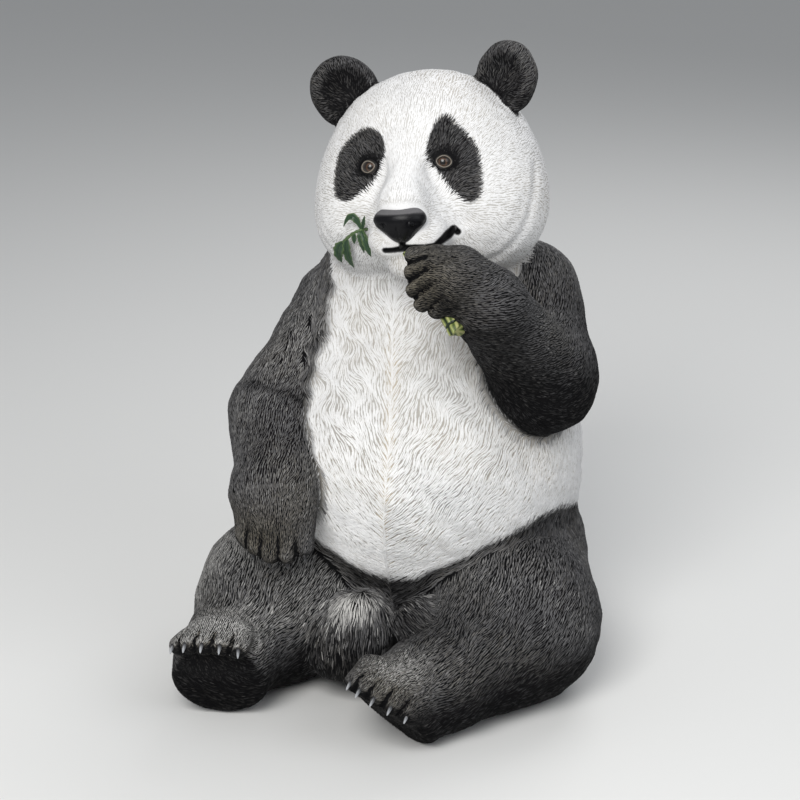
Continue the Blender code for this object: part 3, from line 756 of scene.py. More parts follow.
def warmth(points):
    # ochre in the parting of the belly, on the knuckles and on the toes
    parting = hump(points[:, 0] - partingAt(points[:, 2]), 0.011) * onBelly(points)
    warm = 0.85 * parting + 0.20 + 0.10 * ripple(points, 0.15, 8)
    for kind, roots, tips in digitRows:
        warm += 0.75 * hump(apart(points, (roots.mean(0) + tips.mean(0)) / 2), 0.055)
    return np.clip(warm, 0, 1)


def along(points, spots):
    # the way that a chain of joints runs beside each point
    way = np.zeros((len(points), 3))
    for start, end in zip(spots, spots[1:]):
        axis = np.subtract(end, start, dtype=float)
        weight = np.exp(-alongStretch(points, start, end)[1] / 0.03)[:, None]
        way += weight * axis / np.linalg.norm(axis)
    return unit(way)


def twisted(ways, normals, angle):
    angle = np.broadcast_to(angle, len(ways))[:, None]
    return ways * np.cos(angle) + np.cross(normals, ways) * np.sin(angle)


def lieOfHead(points, normals):
    local = inHead(points)
    away = unit(local - (0, -0.235, -0.035))
    away[:, 2] -= 0.45 * smoothStep(-local[:, 2], -0.01, 0.07) * smoothStep(np.abs(local[:, 0]), 0.03, 0.10)
    return twisted(away @ headTurn.T, normals, 0.20 * ripple(points, 0.05, 11))


def lieOfEar(points, normals):
    ways = np.zeros((len(points), 3))
    for side in (1, -1):
        base = onHead(0.112 * side, 0.0, 0.125)
        mine = (inHead(points)[:, 0] * side) > 0
        ways[mine] = (points - base)[mine]
    return twisted(unit(ways), normals, 0.25 * ripple(points, 0.03, 12))


def lieOfTrunk(points, normals):
    x, y, z = points.T
    off = x - partingAt(z)
    front = smoothStep(-y, 0.0, 0.12)
    slant = (0.42 + 0.85 * smoothStep(-z, -0.52, -0.26)) * np.tanh(off / 0.003) * front
    ways = np.stack([-slant, -0.15 * np.ones(len(x)), -np.ones(len(x))], -1)
    wave = (0.22 + 0.38 * smoothStep(z, 0.40, 0.55) * front) * ripple(points, 0.060, 13)
    return twisted(unit(ways), normals, wave * (1 - 0.8 * hump(off, 0.030)))


def lieOfArm(side):
    joints = armJoints[side]
    roots, tips = np.mean(joints["roots"], 0), np.mean(joints["tips"], 0)

    def lie(points, normals):
        ways = along(points, (joints["shoulder"], joints["elbow"], joints["wrist"], joints["paw"], tips))
        lower = smoothStep(apart(points, joints["shoulder"]), 0.10, 0.20)
        onPaw = smoothStep(-apart(points, roots), -0.075, -0.035)
        swing = joints["swing"] * lower * (1 - onPaw) + 0.20 * ripple(points, 0.045, 14)
        return twisted(ways, normals, swing)
    return lie


def lieOfLeg(side):
    joints = legJoints[side]
    roots, tips = np.mean(joints["roots"], 0), np.mean(joints["tips"], 0)

    def lie(points, normals):
        ways = along(points, (joints["hip"], joints["knee"], joints["ankle"], roots, tips))
        ways[:, 2] -= 0.55 * (1 - smoothStep(-apart(points, roots), -0.12, -0.05))
        return twisted(unit(ways), normals, 0.18 * ripple(points, 0.055, 15))
    return lie


def lieOfTuft(points, normals):
    return twisted(unit(points - (-0.052, -0.228, 0.222)), normals, 0.15 * ripple(points, 0.03, 16))


# each coat piece: its strokes' spacing, their length, width and height, their bends, and which way they lie
coats = {
    "coatFace": (0.0033, (0.0100, 0.0028, 0.0010), 2, lieOfHead),
    "coatCrown": (0.0042, (0.0135, 0.0033, 0.0011), 2, lieOfHead),
    "coatEars": (0.0032, (0.0085, 0.0024, 0.0006), 2, lieOfEar),
    "coatBelly": (0.0050, (0.0225, 0.0036, 0.0026), 3, lieOfTrunk),
    "coatBack": (0.0053, (0.0190, 0.0038, 0.0015), 2, lieOfTrunk),
    "coatArmLeft": (0.0038, (0.0110, 0.0027, 0.0011), 2, lieOfArm("left")),
    "coatArmRight": (0.0038, (0.0110, 0.0027, 0.0011), 2, lieOfArm("right")),
    "coatLegLeft": (0.0044, (0.0128, 0.0030, 0.0012), 2, lieOfLeg("left")),
    "coatLegRight": (0.0044, (0.0128, 0.0030, 0.0012), 2, lieOfLeg("right")),
    "coatGroin": (0.0036, (0.0220, 0.0026, 0.0016), 3, lieOfTuft),
}
pawStroke = {"spacing": 0.0030, "size": (0.0080, 0.0024, 0.0006)}
coatNames = list(coats)


def coatOf(points):
    # which coat piece each point belongs to, by the mass it is nearest to
    masses = (("coatBelly", trunkFlesh), ("coatBelly", tailFlesh), ("coatFace", headFlesh),
              ("coatEars", earFlesh[1]), ("coatEars", earFlesh[-1]),
              ("coatArmLeft", armFlesh["left"]), ("coatArmRight", armFlesh["right"]),
              ("coatLegLeft", legFlesh["left"]), ("coatLegRight", legFlesh["right"]),
              ("coatGroin", tuftFlesh))
    nearest = np.argmin([flesh(points) for name, flesh in masses], axis=0)
    chosen = np.array([coatNames.index(name) for name, flesh in masses])[nearest]
    for front, back, behind in (("coatBelly", "coatBack", points[:, 1] > 0.0),
                                ("coatFace", "coatCrown", inHead(points)[:, 1] > -0.055)):
        chosen[(chosen == coatNames.index(front)) & behind] = coatNames.index(back)
    return chosen


def bareSkin(points):
    # places with no strokes: the underside, the lips, the lids, under the nose and between the digits
    return (points[:, 2] < 0.004) | (roomAhead(points) < roomLook["bare"]) | (grooveDepth(points)[0] > 0.55)


# how near the strokes come to bare places, and the shortest that is carved
roomLook = {"most": 0.05, "ears": 0.001, "lips": 0.0006, "lids": 0.0042, "bare": 0.0012, "shortest": 0.0018}


def roomAhead(points):
    # how far a stroke may run before it meets an eyelid, the lips, the nose or an ear
    local, look = inHead(points), roomLook
    near = (local[:, 1] < -0.08) & (headFlesh(points) < 0.03)
    spots = local[near]
    ears = np.minimum(earFlesh[1](points), earFlesh[-1](points))
    room = np.minimum(np.where(ears > 2 * look["ears"], ears - look["ears"], look["most"]), look["most"])
    least = np.minimum(mouthGap(spots) - mouthWidth(spots) - look["lips"], noseFlesh(points[near]))
    for eye in eyes.values():
        least = np.minimum(least, aroundEye(spots, eye)[0] - look["lids"])
    room[near] = np.minimum(room[near], least)
    return room


noseFlesh = joined([egg(onHead(0, -0.216, -0.034), (0.041, 0.026, 0.022), headTurn),
                    egg(onHead(0, -0.206, -0.052), (0.020, 0.022, 0.020), headTurn, 0.02)])
skinPlaces, skinNormals = places(skin.data), readout(skin.data.vertex_normals, "vector", 3)
skinTree = BVHTree.FromPolygons(skinPlaces.tolist(), [tuple(face.vertices) for face in skin.data.polygons])
skin.data.calc_loop_triangles()
skinCorners = readout(skin.data.loop_triangles, "vertices", 3, int)
faceOf = readout(skin.data.loop_triangles, "polygon_index", 1, int)[:, 0]
faceNormals = np.zeros((len(skin.data.polygons), 3))
np.add.at(faceNormals, faceOf, skinNormals[skinCorners].mean(1))
faceNormals = unit(faceNormals)


def settle(points):
    # the nearest places on the skin, with the skin's smooth normals there
    found = [skinTree.find_nearest(point) for point in points.tolist()]
    return np.array([hit[0] for hit in found]), faceNormals[[hit[2] for hit in found]]


def scatter():
    corners = skinPlaces[skinCorners]
    middles = corners.mean(1)
    sides = corners[:, 1:] - corners[:, :1]
    areas = np.linalg.norm(np.cross(sides[:, 0], sides[:, 1]), axis=-1) / 2
    kinds = coatOf(middles)
    spacing = np.array([spacing for spacing, size, bends, lie in coats.values()])[kinds]
    paws = nearPaws(middles)
    spacing[paws] = pawStroke["spacing"]
    # many candidates, of which each cell keeps the one nearest its middle
    wanted = areas / spacing ** 2 * 5
    counts = np.floor(wanted + dice.random(len(wanted))).astype(int)
    chosen = np.repeat(np.arange(len(areas)), counts)
    share = np.sort(dice.random((len(chosen), 2)), axis=1)
    weights = np.stack([share[:, 0], share[:, 1] - share[:, 0], 1 - share[:, 1]], -1)
    points = (corners[chosen] * weights[..., None]).sum(1)
    normals = unit((skinNormals[skinCorners[chosen]] * weights[..., None]).sum(1))
    step = spacing[chosen][:, None]
    cells = np.floor(points / step).astype(np.int64)
    fromMiddle = apart(points / step - cells, 0.5)
    key = ((cells[:, 0] + 4000) * 10000 + cells[:, 1] + 4000) * 10000 + cells[:, 2] + 4000
    key = key * 16 + kinds[chosen]
    order = np.lexsort((fromMiddle, key))
    first = np.ones(len(order), bool)
    first[1:] = key[order][1:] != key[order][:-1]
    kept = order[first]
    kept = kept[~bareSkin(points[kept])]
    return points[kept], normals[kept], kinds[chosen][kept], paws[chosen][kept]


def floats(mesh, name, values):
    layer = mesh.attributes.new(name, "FLOAT", "POINT")
    layer.data.foreach_set("value", np.ascontiguousarray(values, np.float32))


# how bright the paint stays in the grooves, where a grey wash and painted shade darken it, and how much
# painted shade falls on the white under the raised arm and the chin
toneLook = {"face": 0.14, "brow": (0.22, (0, -0.16, 0.04), 0.10), "chest": 0.12, "armShade": 0.48,
            "armShadeReach": 0.05, "skin": 0.10, "bareSkin": 0.45}


def lowTone(points):
    # the face has less of the grooves' grey wash and painted shade than the body, least about the brow, and
    # the upper chest has less than the belly below it
    amount, place, wide = toneLook["brow"]
    bright = toneLook["face"] + amount * hump(apart(inHead(points), place), wide)
    offHead = smoothStep(headFlesh(points), 0.0, 0.02)
    return bright * (1 - offHead) + toneLook["chest"] * offHead * smoothStep(points[:, 2], 0.40, 0.56)


def shadeUnderArm(points):
    # painted shade on the white under the raised arm and under the chin, where the arm and the head shade it
    gap = np.clip(armFlesh["left"](points) - 0.004, 0, None)
    chin = smoothStep(-inHead(points)[:, 2], 0.085, 0.110)
    onHeadToo = np.where(headFlesh(points) < 0.01, chin, 1.0)
    return toneLook["armShade"] * np.exp(-gap / toneLook["armShadeReach"]) * onHeadToo * (1 - covered(points))


# how a stroke's breadth and height change along it, and how much its paint varies
strokeLook = {"breadth": ((0, 0.35, 0.7, 1), (0, 0.85, 1, 0)),
              "height": ((0, 0.4, 0.75, 1), (-0.35, 0.7, 1.0, 0.15)),
              "crest": (0.15, 0.75), "sizes": (0.8, 1.2), "steepest": 0.12, "sunk": 0.25, "ground": 0.0003,
              "dry": 0.10, "dryTuft": 0.26, "warm": 0.08, "fray": 0.0007}


def strokePaths(roots, normals, lengths, stations, lie):
    # the places along each stroke, all on the skin, and the skin's normals there
    path, ups = [roots], [normals]
    for _ in range(stations - 1):
        way = lie(path[-1], ups[-1])
        way = unit(way - (way * ups[-1]).sum(-1, keepdims=True) * ups[-1])
        here, up = settle(path[-1] + way * lengths / (stations - 1))
        path.append(here)
        ups.append(up)
    return path, ups


def ridges(path, ups, size):
    # pointed ridges with three places across, and how near its crest each place is, by which the paint
    # darkens each stroke's sides and root with a grey wash and painted shade
    last = len(path) - 1
    shares = np.linspace(0, 1, last + 1)
    breadth, height = (np.interp(shares, *strokeLook[key]) for key in ("breadth", "height"))
    verts, crest = [], []
    for step, (here, up) in enumerate(zip(path, ups)):
        top = here + up * size[:, 2:] * height[step]
        if step in (0, last):
            verts.append(top)
            crest.append(strokeLook["crest"][step > 0])
            continue
        across = unit(np.cross(unit(path[step + 1] - path[step - 1]), up))
        half = across * size[:, 1:2] * 0.5 * breadth[step]
        low = here - up * size[:, 2:] * strokeLook["sunk"]
        verts += [low - half, top, low + half]
        crest += [0.0, 1.0, 0.0]
    return np.stack(verts, 1).reshape(-1, 3), np.array(crest)


def ridgeFaces(rows, count):
    faces = [(0, 2, 1), (0, 3, 2)]
    for ring in range(1, rows - 4, 3):
        faces += [(ring, ring + 1, ring + 4), (ring, ring + 4, ring + 3),
                  (ring + 1, ring + 2, ring + 5), (ring + 1, ring + 5, ring + 4)]
    faces += [(rows - 4, rows - 3, rows - 1), (rows - 3, rows - 2, rows - 1)]
    return np.array(faces)[None] + (np.arange(count) * rows)[:, None, None]


def triangleMesh(name, verts, faces):
    mesh = bpy.data.meshes.new(name)
    mesh.vertices.add(len(verts))
    mesh.vertices.foreach_set("co", verts.ravel())
    mesh.loops.add(faces.size)
    mesh.loops.foreach_set("vertex_index", faces.ravel())
    mesh.polygons.add(faces.size // 3)
    mesh.polygons.foreach_set("loop_start", np.arange(0, faces.size, 3))
    mesh.update(calc_edges=True)
    return mesh


def strokes(name, roots, normals, onPaw):
    # one piece of carved coat, with its paint
    spacing, plainSize, bends, lie = coats[name]
    look, count = strokeLook, len(roots)
    size = np.where(onPaw[:, None], pawStroke["size"], plainSize)
    size = size * dice.uniform(*look["sizes"], (count, 3))
    size[:, 0] = np.minimum(size[:, 0], np.maximum(roomAhead(roots), roomLook["shortest"]))
    size[:, 2] = np.minimum(size[:, 2], size[:, 0] * look["steepest"])
    if name == "coatBelly":
        # longer, narrower and deeper low down
        low = 1 - smoothStep(roots[:, 2], 0.30, 0.48)
        size *= np.stack([0.82 + 0.18 * low, 0.98 - 0.12 * low, 0.80 + 0.50 * low], -1)
    path, ups = strokePaths(roots, normals, size[:, :1], bends + 2, lie)
    verts, crest = ridges(path, ups, size)
    verts[:, 2] = np.maximum(verts[:, 2], look["ground"])
    rows = len(crest)
    faces = ridgeFaces(rows, count)
    mesh = triangleMesh(name, verts, faces)
    fray = dice.normal(0, look["fray"], count) * np.where(headFlesh(roots) < 0.02, 1.0, 1.4)
    dry = dryBrush(roots, normals) + dice.normal(0, look["dryTuft" if name == "coatGroin" else "dry"], count)
    warm = warmth(roots) + dice.normal(0, look["warm"], count)
    low = lowTone(roots)[:, None]
    layers = {"black": covered(roots, fray)[:, None],
              # the crest value darkens the white toward the strokes' sides and roots, as a wash and painted
              # shade, and under the raised arm and chin, as painted shade
              "crest": (low + crest * (1 - low)) * (1 - shadeUnderArm(roots))[:, None],
              "dry": np.clip(dry, 0, brushLook["most"])[:, None], "warm": np.clip(warm, 0, 1)[:, None],
              "tone": dice.random(count)[:, None]}
    for key, values in layers.items():
        floats(mesh, key, np.broadcast_to(values, (count, rows)).ravel())
    unwrap(mesh, roots, rows, faces, crest)
    mesh.shade_smooth()
    return linked(name, mesh)


def unwrap(mesh, roots, rows, faces, crest):
    # a round unwrap of the region: how far round its axis, and how far along it
    middle = roots.mean(0)
    spread = np.linalg.eigh(np.cov((roots - middle).T))[1]
    axis, side, front = spread[:, 2], spread[:, 1], spread[:, 0]
    local = roots - middle
    u = np.arctan2(local @ side, local @ front) / (2 * math.pi) + 0.5
    v = local @ axis
    v = (v - v.min()) / (np.ptp(v) + 1e-9)
    base = np.stack([u, v], -1) * 0.98 + 0.005
    patch = np.stack([crest, np.linspace(0, 1, rows)], -1)
    spot = (base[:, None] + patch[None] * 0.003).reshape(-1, 2)
    layer = mesh.uv_layers.new(name="OFBake")
    layer.data.foreach_set("uv", spot[faces.ravel()].astype(np.float32).ravel())


roots, rootNormals, rootKinds, rootPaws = scatter()
coatPieces = []
for index, name in enumerate(coatNames):
    mine = rootKinds == index
    piece = strokes(name, roots[mine], rootNormals[mine], rootPaws[mine])
    coatPieces.append(piece)
    print(name, int(mine.sum()), "strokes,", len(piece.data.polygons), "triangles")

floats(skin.data, "black", covered(skinPlaces))
# the skin between the strokes takes the grooves' grey wash and painted shade, and is as bright as the strokes
# where there are none
bareShare = 1 - smoothStep(roomAhead(skinPlaces), 0.003, 0.009)
skinTone = lowTone(skinPlaces) + toneLook["skin"] + toneLook["bareSkin"] * bareShare
# painted shade under the raised arm and chin darkens the skin's white as well
floats(skin.data, "crest", skinTone * (1 - shadeUnderArm(skinPlaces)))
floats(skin.data, "dry", dryBrush(skinPlaces, skinNormals))
floats(skin.data, "warm", warmth(skinPlaces))
floats(skin.data, "tone", np.full(len(skinPlaces), 0.5))


# paint: node materials
def feed(material, socket, value):
    # a constant or another node's output into a socket
    if isinstance(value, bpy.types.NodeSocket):
        material.node_tree.links.new(value, socket)
    else:
        socket.default_value = (*value, 1.0) if isinstance(value, tuple) else value


def addNode(material, kind, out, inputs, **settings):
    node = material.node_tree.nodes.new("ShaderNode" + kind)
    for key, value in settings.items():
        setattr(node, key, value)
    for key, value in inputs.items():
        feed(material, node.inputs[key], value)
    return node.outputs[out]


def mixed(material, factor, first, second, blend="MIX"):
    return addNode(material, "Mix", 2, {0: factor, 6: first, 7: second}, data_type="RGBA", blend_type=blend)


def ramped(material, source, stops):
    node = material.node_tree.nodes.new("ShaderNodeValToRGB")
    material.node_tree.links.new(source, node.inputs[0])
    for _ in stops[2:]:
        node.color_ramp.elements.new(0.5)
    for mark, (at, value) in zip(node.color_ramp.elements, stops):
        mark.position = at
        mark.color = (*value, 1) if isinstance(value, tuple) else (value, value, value, 1)
    return node.outputs[0]


def worked(material, operation, first, second):
    return addNode(material, "Math", 0, {0: first, 1: second}, operation=operation)


def timed(material, first, second):
    return worked(material, "MULTIPLY", first, second)


def inPlace(material, kind, out, **inputs):
    # a node that reads the place on the statue
    coords = addNode(material, "TexCoord", "Object", {})
    return addNode(material, kind, out, {"Vector": coords, **inputs})


def noiseOf(material, scale, detail=3.0):
    return inPlace(material, "TexNoise", "Fac", Scale=scale, Detail=detail, Roughness=0.6)


def attribute(material, name):
    return addNode(material, "Attribute", "Fac", {}, attribute_name=name)


def newPaint(name, roughness, specular, coat=0.0):
    material = bpy.data.materials.new(name)
    material.use_nodes = True
    shader = material.node_tree.nodes["Principled BSDF"]
    shader.inputs["Roughness"].default_value = roughness
    shader.inputs["Specular IOR Level"].default_value = specular
    shader.inputs["Coat Weight"].default_value = coat
    shader.inputs["Coat Roughness"].default_value = 0.04
    return material, shader


def coloured(material, shader, name, source, share, stops):
    # colours by a painted value with a little of something finer added
    source = worked(material, "ADD", attribute(material, name), timed(material, source, share))
    feed(material, shader.inputs["Base Color"], ramped(material, source, stops))


def bumped(material, shader, source, strength, distance):
    feed(material, shader.inputs["Normal"], addNode(material, "Bump", "Normal", {
        "Strength": strength, "Distance": distance, "Height": source}))


paint = {
    # the white's colour in the grooves is a grey wash together with painted shade
    "white": (0.92, 0.92, 0.925), "grooveWashAndShade": (0.22, 0.215, 0.20), "ochre": (0.50, 0.41, 0.28),
    "black": (0.0045, 0.0045, 0.005), "brushedGrey": (0.300, 0.297, 0.305),
    "brushedOchre": (0.35, 0.315, 0.245),
    "lightGrey": (0.62, 0.61, 0.59),
    # painted shade: how strong the white is at shares of the statue's height, darkest at the neck under the
    # chin where the head shades it, and lowered over the belly and the head
    "tall": 1.05,
    "heightShade": ((0.22, 1.0), (0.34, 0.91), (0.60, 0.80), (0.672, 0.67), (0.725, 0.84)),
}


def carvedPaint():
    material, shader = newPaint("carvedPaint", 0.5, 0.05)
    black, crest, dry = (attribute(material, name) for name in ("black", "crest", "dry"))
    warm, tone = attribute(material, "warm"), attribute(material, "tone")
    fine, broad = noiseOf(material, 420.0), noiseOf(material, 14.0, 2.0)
    worn = worked(material, "ADD", timed(material, tone, 0.42), timed(material, fine, 0.50))
    ridge = timed(material, crest, worked(material, "ADD", 0.50, worn))
    # the white darkens toward the grooves and the strokes' sides: partly a grey wash, partly painted shade
    whiteCol = mixed(material, ramped(material, ridge, ((0.0, 0.0), (0.28, 0.52), (0.75, 1.0))),
                     paint["grooveWashAndShade"], paint["white"])
    height = timed(material, inPlace(material, "SeparateXYZ", "Z"), 1 / paint["tall"])
    # painted shade by height, darkest under the chin
    whiteCol = mixed(material, 1.0, whiteCol, ramped(material, height, paint["heightShade"]), "MULTIPLY")
    lowWarm = timed(material, warm, worked(material, "SUBTRACT", 0.85, ridge))
    whiteCol = mixed(material, ramped(material, lowWarm, ((0.0, 0.0), (0.8, 0.75))), whiteCol, paint["ochre"])
    brushed = timed(material, ramped(material, ridge, ((0.30, 0.0), (1.0, 0.82))), dry)
    brushCol = mixed(material, ramped(material, warm, ((0.15, 0.0), (0.9, 1.0))), paint["brushedGrey"],
                     paint["brushedOchre"])
    brushCol = mixed(material, ramped(material, dry, ((0.62, 0.0), (1.0, 1.0))), brushCol, paint["lightGrey"])
    colour = mixed(material, black, whiteCol, mixed(material, brushed, paint["black"], brushCol))
    shade = ramped(material, broad, ((0.3, 0.93), (0.7, 1.0)))
    feed(material, shader.inputs["Base Color"], mixed(material, 1.0, colour, shade, "MULTIPLY"))
    feed(material, shader.inputs["Roughness"], ramped(material, fine, ((0.3, 0.50), (0.7, 0.66))))
    bumped(material, shader, fine, 0.35, 0.0006)
    return material


coatPaint = carvedPaint()
for piece in coatPieces + [skin]:
    piece.data.materials.append(coatPaint)
    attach(piece, "root")
fleshNodes = ["head", "neck", "trunk", "tail", "groin_tuft", "ear_left", "ear_right"]
fleshNodes += [f"{part}_{side}" for part in ("upper_arm", "forearm", "front_paw", "thigh", "shin", "hind_paw")
               for side in ("left", "right")]
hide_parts(*fleshNodes)
print("coat painted")


# small pieces from rings of points
def ringPiece(name, rings, start=None, end=None, around=True, values=None):
    rows, cols = rings.shape[:2]
    verts = rings.reshape(-1, 3).tolist()
    faces = []
    for row in range(rows - 1):
        for col in range(cols if around else cols - 1):
            after = (col + 1) % cols
            here, above = row * cols, (row + 1) * cols
            faces.append((here + col, here + after, above + after, above + col))
    for middle, row in ((start, 0), (end, rows - 1)):
        if middle is None:
            continue
        verts.append(list(middle))
        for col in range(cols):
            pair = (row * cols + (col + 1) % cols, row * cols + col)
            faces.append((*(pair if row == 0 else pair[::-1]), len(verts) - 1))
    mesh = bpy.data.meshes.new(name)
    mesh.from_pydata(verts, [], faces)
    bm = bmesh.new()
    bm.from_mesh(mesh)
    bmesh.ops.recalc_face_normals(bm, faces=bm.faces)
    bm.to_mesh(mesh)
    bm.free()
    for key, layer in (values or {}).items():
        layer = np.asarray(layer, float).ravel()
        layer = np.concatenate([layer, [layer[0] if len(layer) else 0.0] * (len(verts) - len(layer))])
        if start is not None:
            layer[rows * cols] = layer[0]
        if end is not None:
            layer[-1] = layer[rows * cols - 1]
        floats(mesh, key, layer)
    mesh.shade_smooth()
    return linked(name, mesh)


def merged(name, pieces):
    bm = bmesh.new()
    for layer in pieces[0].data.attributes:
        if layer.domain == "POINT" and layer.data_type == "FLOAT":
            bm.verts.layers.float.new(layer.name)
    for piece in pieces:
        bm.from_mesh(piece.data)
        bpy.data.objects.remove(piece)
    mesh = newMesh(name, bm)
    mesh.shade_smooth()
    return linked(name, mesh)


def finished(piece, material, slot, *nodes):
    piece.data.materials.append(material)
    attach(piece, "root")
    if nodes:
        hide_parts(*nodes)


# eyes: glossy balls painted in rings round the way they look
eyeLook = {"radius": 0.0132, "gaze": (0.13, -0.985, 0.06), "rows": 60, "sides": 72}


def eyePaint():
    material, shader = newPaint("eyePaint", 0.30, 0.25, 0.45)
    coloured(material, shader, "ring", attribute(material, "streak"), 0.010, (
        (0.0, (0.004, 0.004, 0.004)), (0.092, (0.004, 0.004, 0.004)), (0.104, (0.040, 0.021, 0.012)),
        (0.140, (0.064, 0.034, 0.019)), (0.170, (0.038, 0.020, 0.012)), (0.190, (0.008, 0.006, 0.005)),
        (0.225, (0.012, 0.009, 0.008)), (0.32, (0.030, 0.024, 0.020))))
    return material


def ringsRound(middles, across, above, size, turn):
    # circles of points about a line, in the plane of two directions
    return middles + size * (np.cos(turn) * across + np.sin(turn) * above)


def makeEyeball(name, eye):
    centre, radius, sides = onHead(*eye["centre"]), eyeLook["radius"], eyeLook["sides"]
    gaze = headTurn @ unit(np.array(eyeLook["gaze"]))
    across = unit(np.cross(gaze, (0, 0, 1.0)))
    polar = np.radians(np.linspace(1.5, 178.5, eyeLook["rows"]))[:, None, None]
    turn = fullTurn(sides)[None, :, None]
    rings = ringsRound(centre + radius * np.cos(polar) * gaze, across, np.cross(across, gaze),
                       radius * np.sin(polar), turn)
    share = np.repeat(polar[:, 0] / math.pi, sides, axis=1)
    streak = np.repeat(dice.normal(0, 1, sides)[None], len(polar), axis=0)
    return ringPiece(name, rings, centre + radius * gaze, centre - radius * gaze,
                     values={"ring": share, "streak": streak})


# lids: a rim round each opening, sunk into the skin at its outer edge
def makeLids(name, eye):
    out, across, above = (headTurn @ axis for axis in eyeAxes(eye))
    centre = onHead(*eye["centre"])
    turns = fullTurn(lidLook["sides"])
    tilt = lidLook["tilt"] * eye["side"]
    opening = lidOpening(turns)
    ways = np.cos(turns + tilt)[:, None] * across + np.sin(turns + tilt)[:, None] * above
    upper = np.clip(np.sin(turns), 0, 1)
    rings, rims = [], []
    ball = eyeLook["radius"]
    edge = np.sqrt(ball ** 2 - opening ** 2)
    # how high the skin stands where the lids end
    beyond = []
    for way, reach in zip(ways, opening + lidLook["rows"][-1]):
        hit = skinTree.ray_cast(Vector(centre + way * reach + out * 0.05), Vector(-out), 0.1)[0]
        beyond.append((np.array(hit) - centre) @ out if hit else 0.006)
    beyond = np.mean([np.roll(beyond, shift) for shift in (-2, -1, 0, 1, 2)], axis=0)
    for row in lidLook["rows"]:
        share = smoothStep(row, 0.0000, 0.0050)
        height = edge * (1 - share) + beyond * share
        height += (0.0012 + 0.0006 * upper) * hump(row - 0.0018, 0.0015)
        height = np.where(row < 0, edge - 0.0010 + row * 0.5, height)
        height -= 0.0016 * smoothStep(row, 0.0042, 0.0060)
        rings.append(centre + ways * (opening + row)[:, None] + out * height[:, None])
        # the tan rim at the lid's edge; inside it the lid stays black, partly its own paint and partly
        # painted shade under the lid's edge
        rim = smoothStep(row, -0.0006, 0.0002) * (1 - smoothStep(row, 0.0011, 0.0025))
        rims.append(np.full(len(turns), rim))
    return ringPiece(name, np.array(rings), values={"rim": np.array(rims)})


def lidPaint():
    material, shader = newPaint("lidPaint", 0.45, 0.4)
    fine = noiseOf(material, 900.0)
    coloured(material, shader, "rim", fine, 0.12, (
        (0.12, (0.010, 0.010, 0.010)), (0.60, (0.065, 0.055, 0.045)), (0.95, (0.175, 0.152, 0.125))))
    bumped(material, shader, fine, 0.4, 0.0004)
    return material


eyeMaterial, lidMaterial = eyePaint(), lidPaint()
for side, eye in eyes.items():
    finished(makeEyeball("eyeball" + side.capitalize(), eye), eyeMaterial, "eye_glass", "eye_" + side)
    finished(makeLids("lids" + side.capitalize(), eye), lidMaterial, "black_paint")
print("eyes made")


# the nose: leathery on top, gloss below, with two comma-shaped nostrils; the faces turned up are painted
# lighter grey, partly for the leather and partly as a painted highlight
noseLook = {"coarseCell": 0.0030, "cell": 0.0013, "topPlane": ((0, -0.226, -0.0165), (0, -0.28, 0.96)),
            "nostril": (0.0225, -0.2350, -0.0400)}


def noseGap(points):
    local = inHead(points)
    gap = noseFlesh(points)
    place, facing = (np.array(value) for value in noseLook["topPlane"])
    gap = smoothMost(gap, (local - place) @ (facing / np.linalg.norm(facing)), 0.006)
    for side in (1, -1):
        x, y, z = noseLook["nostril"]
        turn = headTurn @ turned(-20 * side, 24 * side, 0)
        hole = egg(onHead(x * side, y, z), (0.0056, 0.0090, 0.0028), turn)
        gap = smoothMost(gap, -hole(points), 0.003)
        slit = (((x + 0.005) * side, y + 0.003, z - 0.001), ((x + 0.016) * side, y + 0.016, z + 0.002))
        gap += 0.0012 * hump(lineGap(local, slit), 0.0026)
    crease = hump(local[:, 0], 0.0016) * smoothStep(-local[:, 2], 0.036, 0.046)
    return gap + 0.0016 * crease


def makeNose():
    bm = bmesh.new()
    noseFlesh.rough(bm)
    nose = remeshed(linked("noseMoulded", newMesh("noseMoulded", bm)), noseLook["coarseCell"])
    pressedOnto(nose, noseFlesh, 2)
    remeshed(nose, noseLook["cell"])
    pressedOnto(nose, noseGap, 4, 0.0003)
    spots = inHead(places(nose.data))
    upward = (readout(nose.data.vertex_normals, "vector", 3) @ headTurn)[:, 2]
    # upward faces painted lighter: leather and a painted highlight
    floats(nose.data, "top", smoothStep(upward, 0.30, 0.75) * smoothStep(spots[:, 2], -0.034, -0.022))
    nose.data.shade_smooth()
    return nose


def nosePaint():
    material, shader = newPaint("nosePaint", 0.3, 0.13)
    leather, top = noiseOf(material, 700.0, 4.0), attribute(material, "top")
    source = timed(material, top, worked(material, "ADD", 0.55, leather))
    feed(material, shader.inputs["Base Color"], ramped(material, source, (
        (0.05, (0.006, 0.006, 0.007)), (0.55, (0.035, 0.034, 0.036)), (1.0, (0.125, 0.122, 0.126)))))
    feed(material, shader.inputs["Roughness"], ramped(material, top, ((0.0, 0.26), (1.0, 0.52))))
    bumped(material, shader, leather, 0.45, 0.0005)
    return material


finished(makeNose(), nosePaint(), "gloss_black", "nose")
print("nose made")


# claws: tapered horns, dark at the root and silver toward the tip
clawLook = {"radius": 0.0042, "rows": 14, "sides": 18}
hindClaws = {"digits": legJoints, "out": (0.0135, 0.0070), "reach": (0.0085, 0.0115), "silver": 1.0}
clawRows = {
    "clawsFrontRight": {"node": "claw_front_right", "side": "right", "down": (0.0, 0.6, -0.8),
                        "digits": armJoints, "out": (0.0125, 0.0020), "reach": (0.006, 0.009),
                        "silver": 0.42},
    "clawsHindLeft": {"node": "claw_hind_left", "side": "left", "down": (-0.30, -0.25, -0.9), **hindClaws},
    "clawsHindRight": {"node": "claw_hind_right", "side": "right", "down": (0.05, -0.35, -0.9), **hindClaws},
}


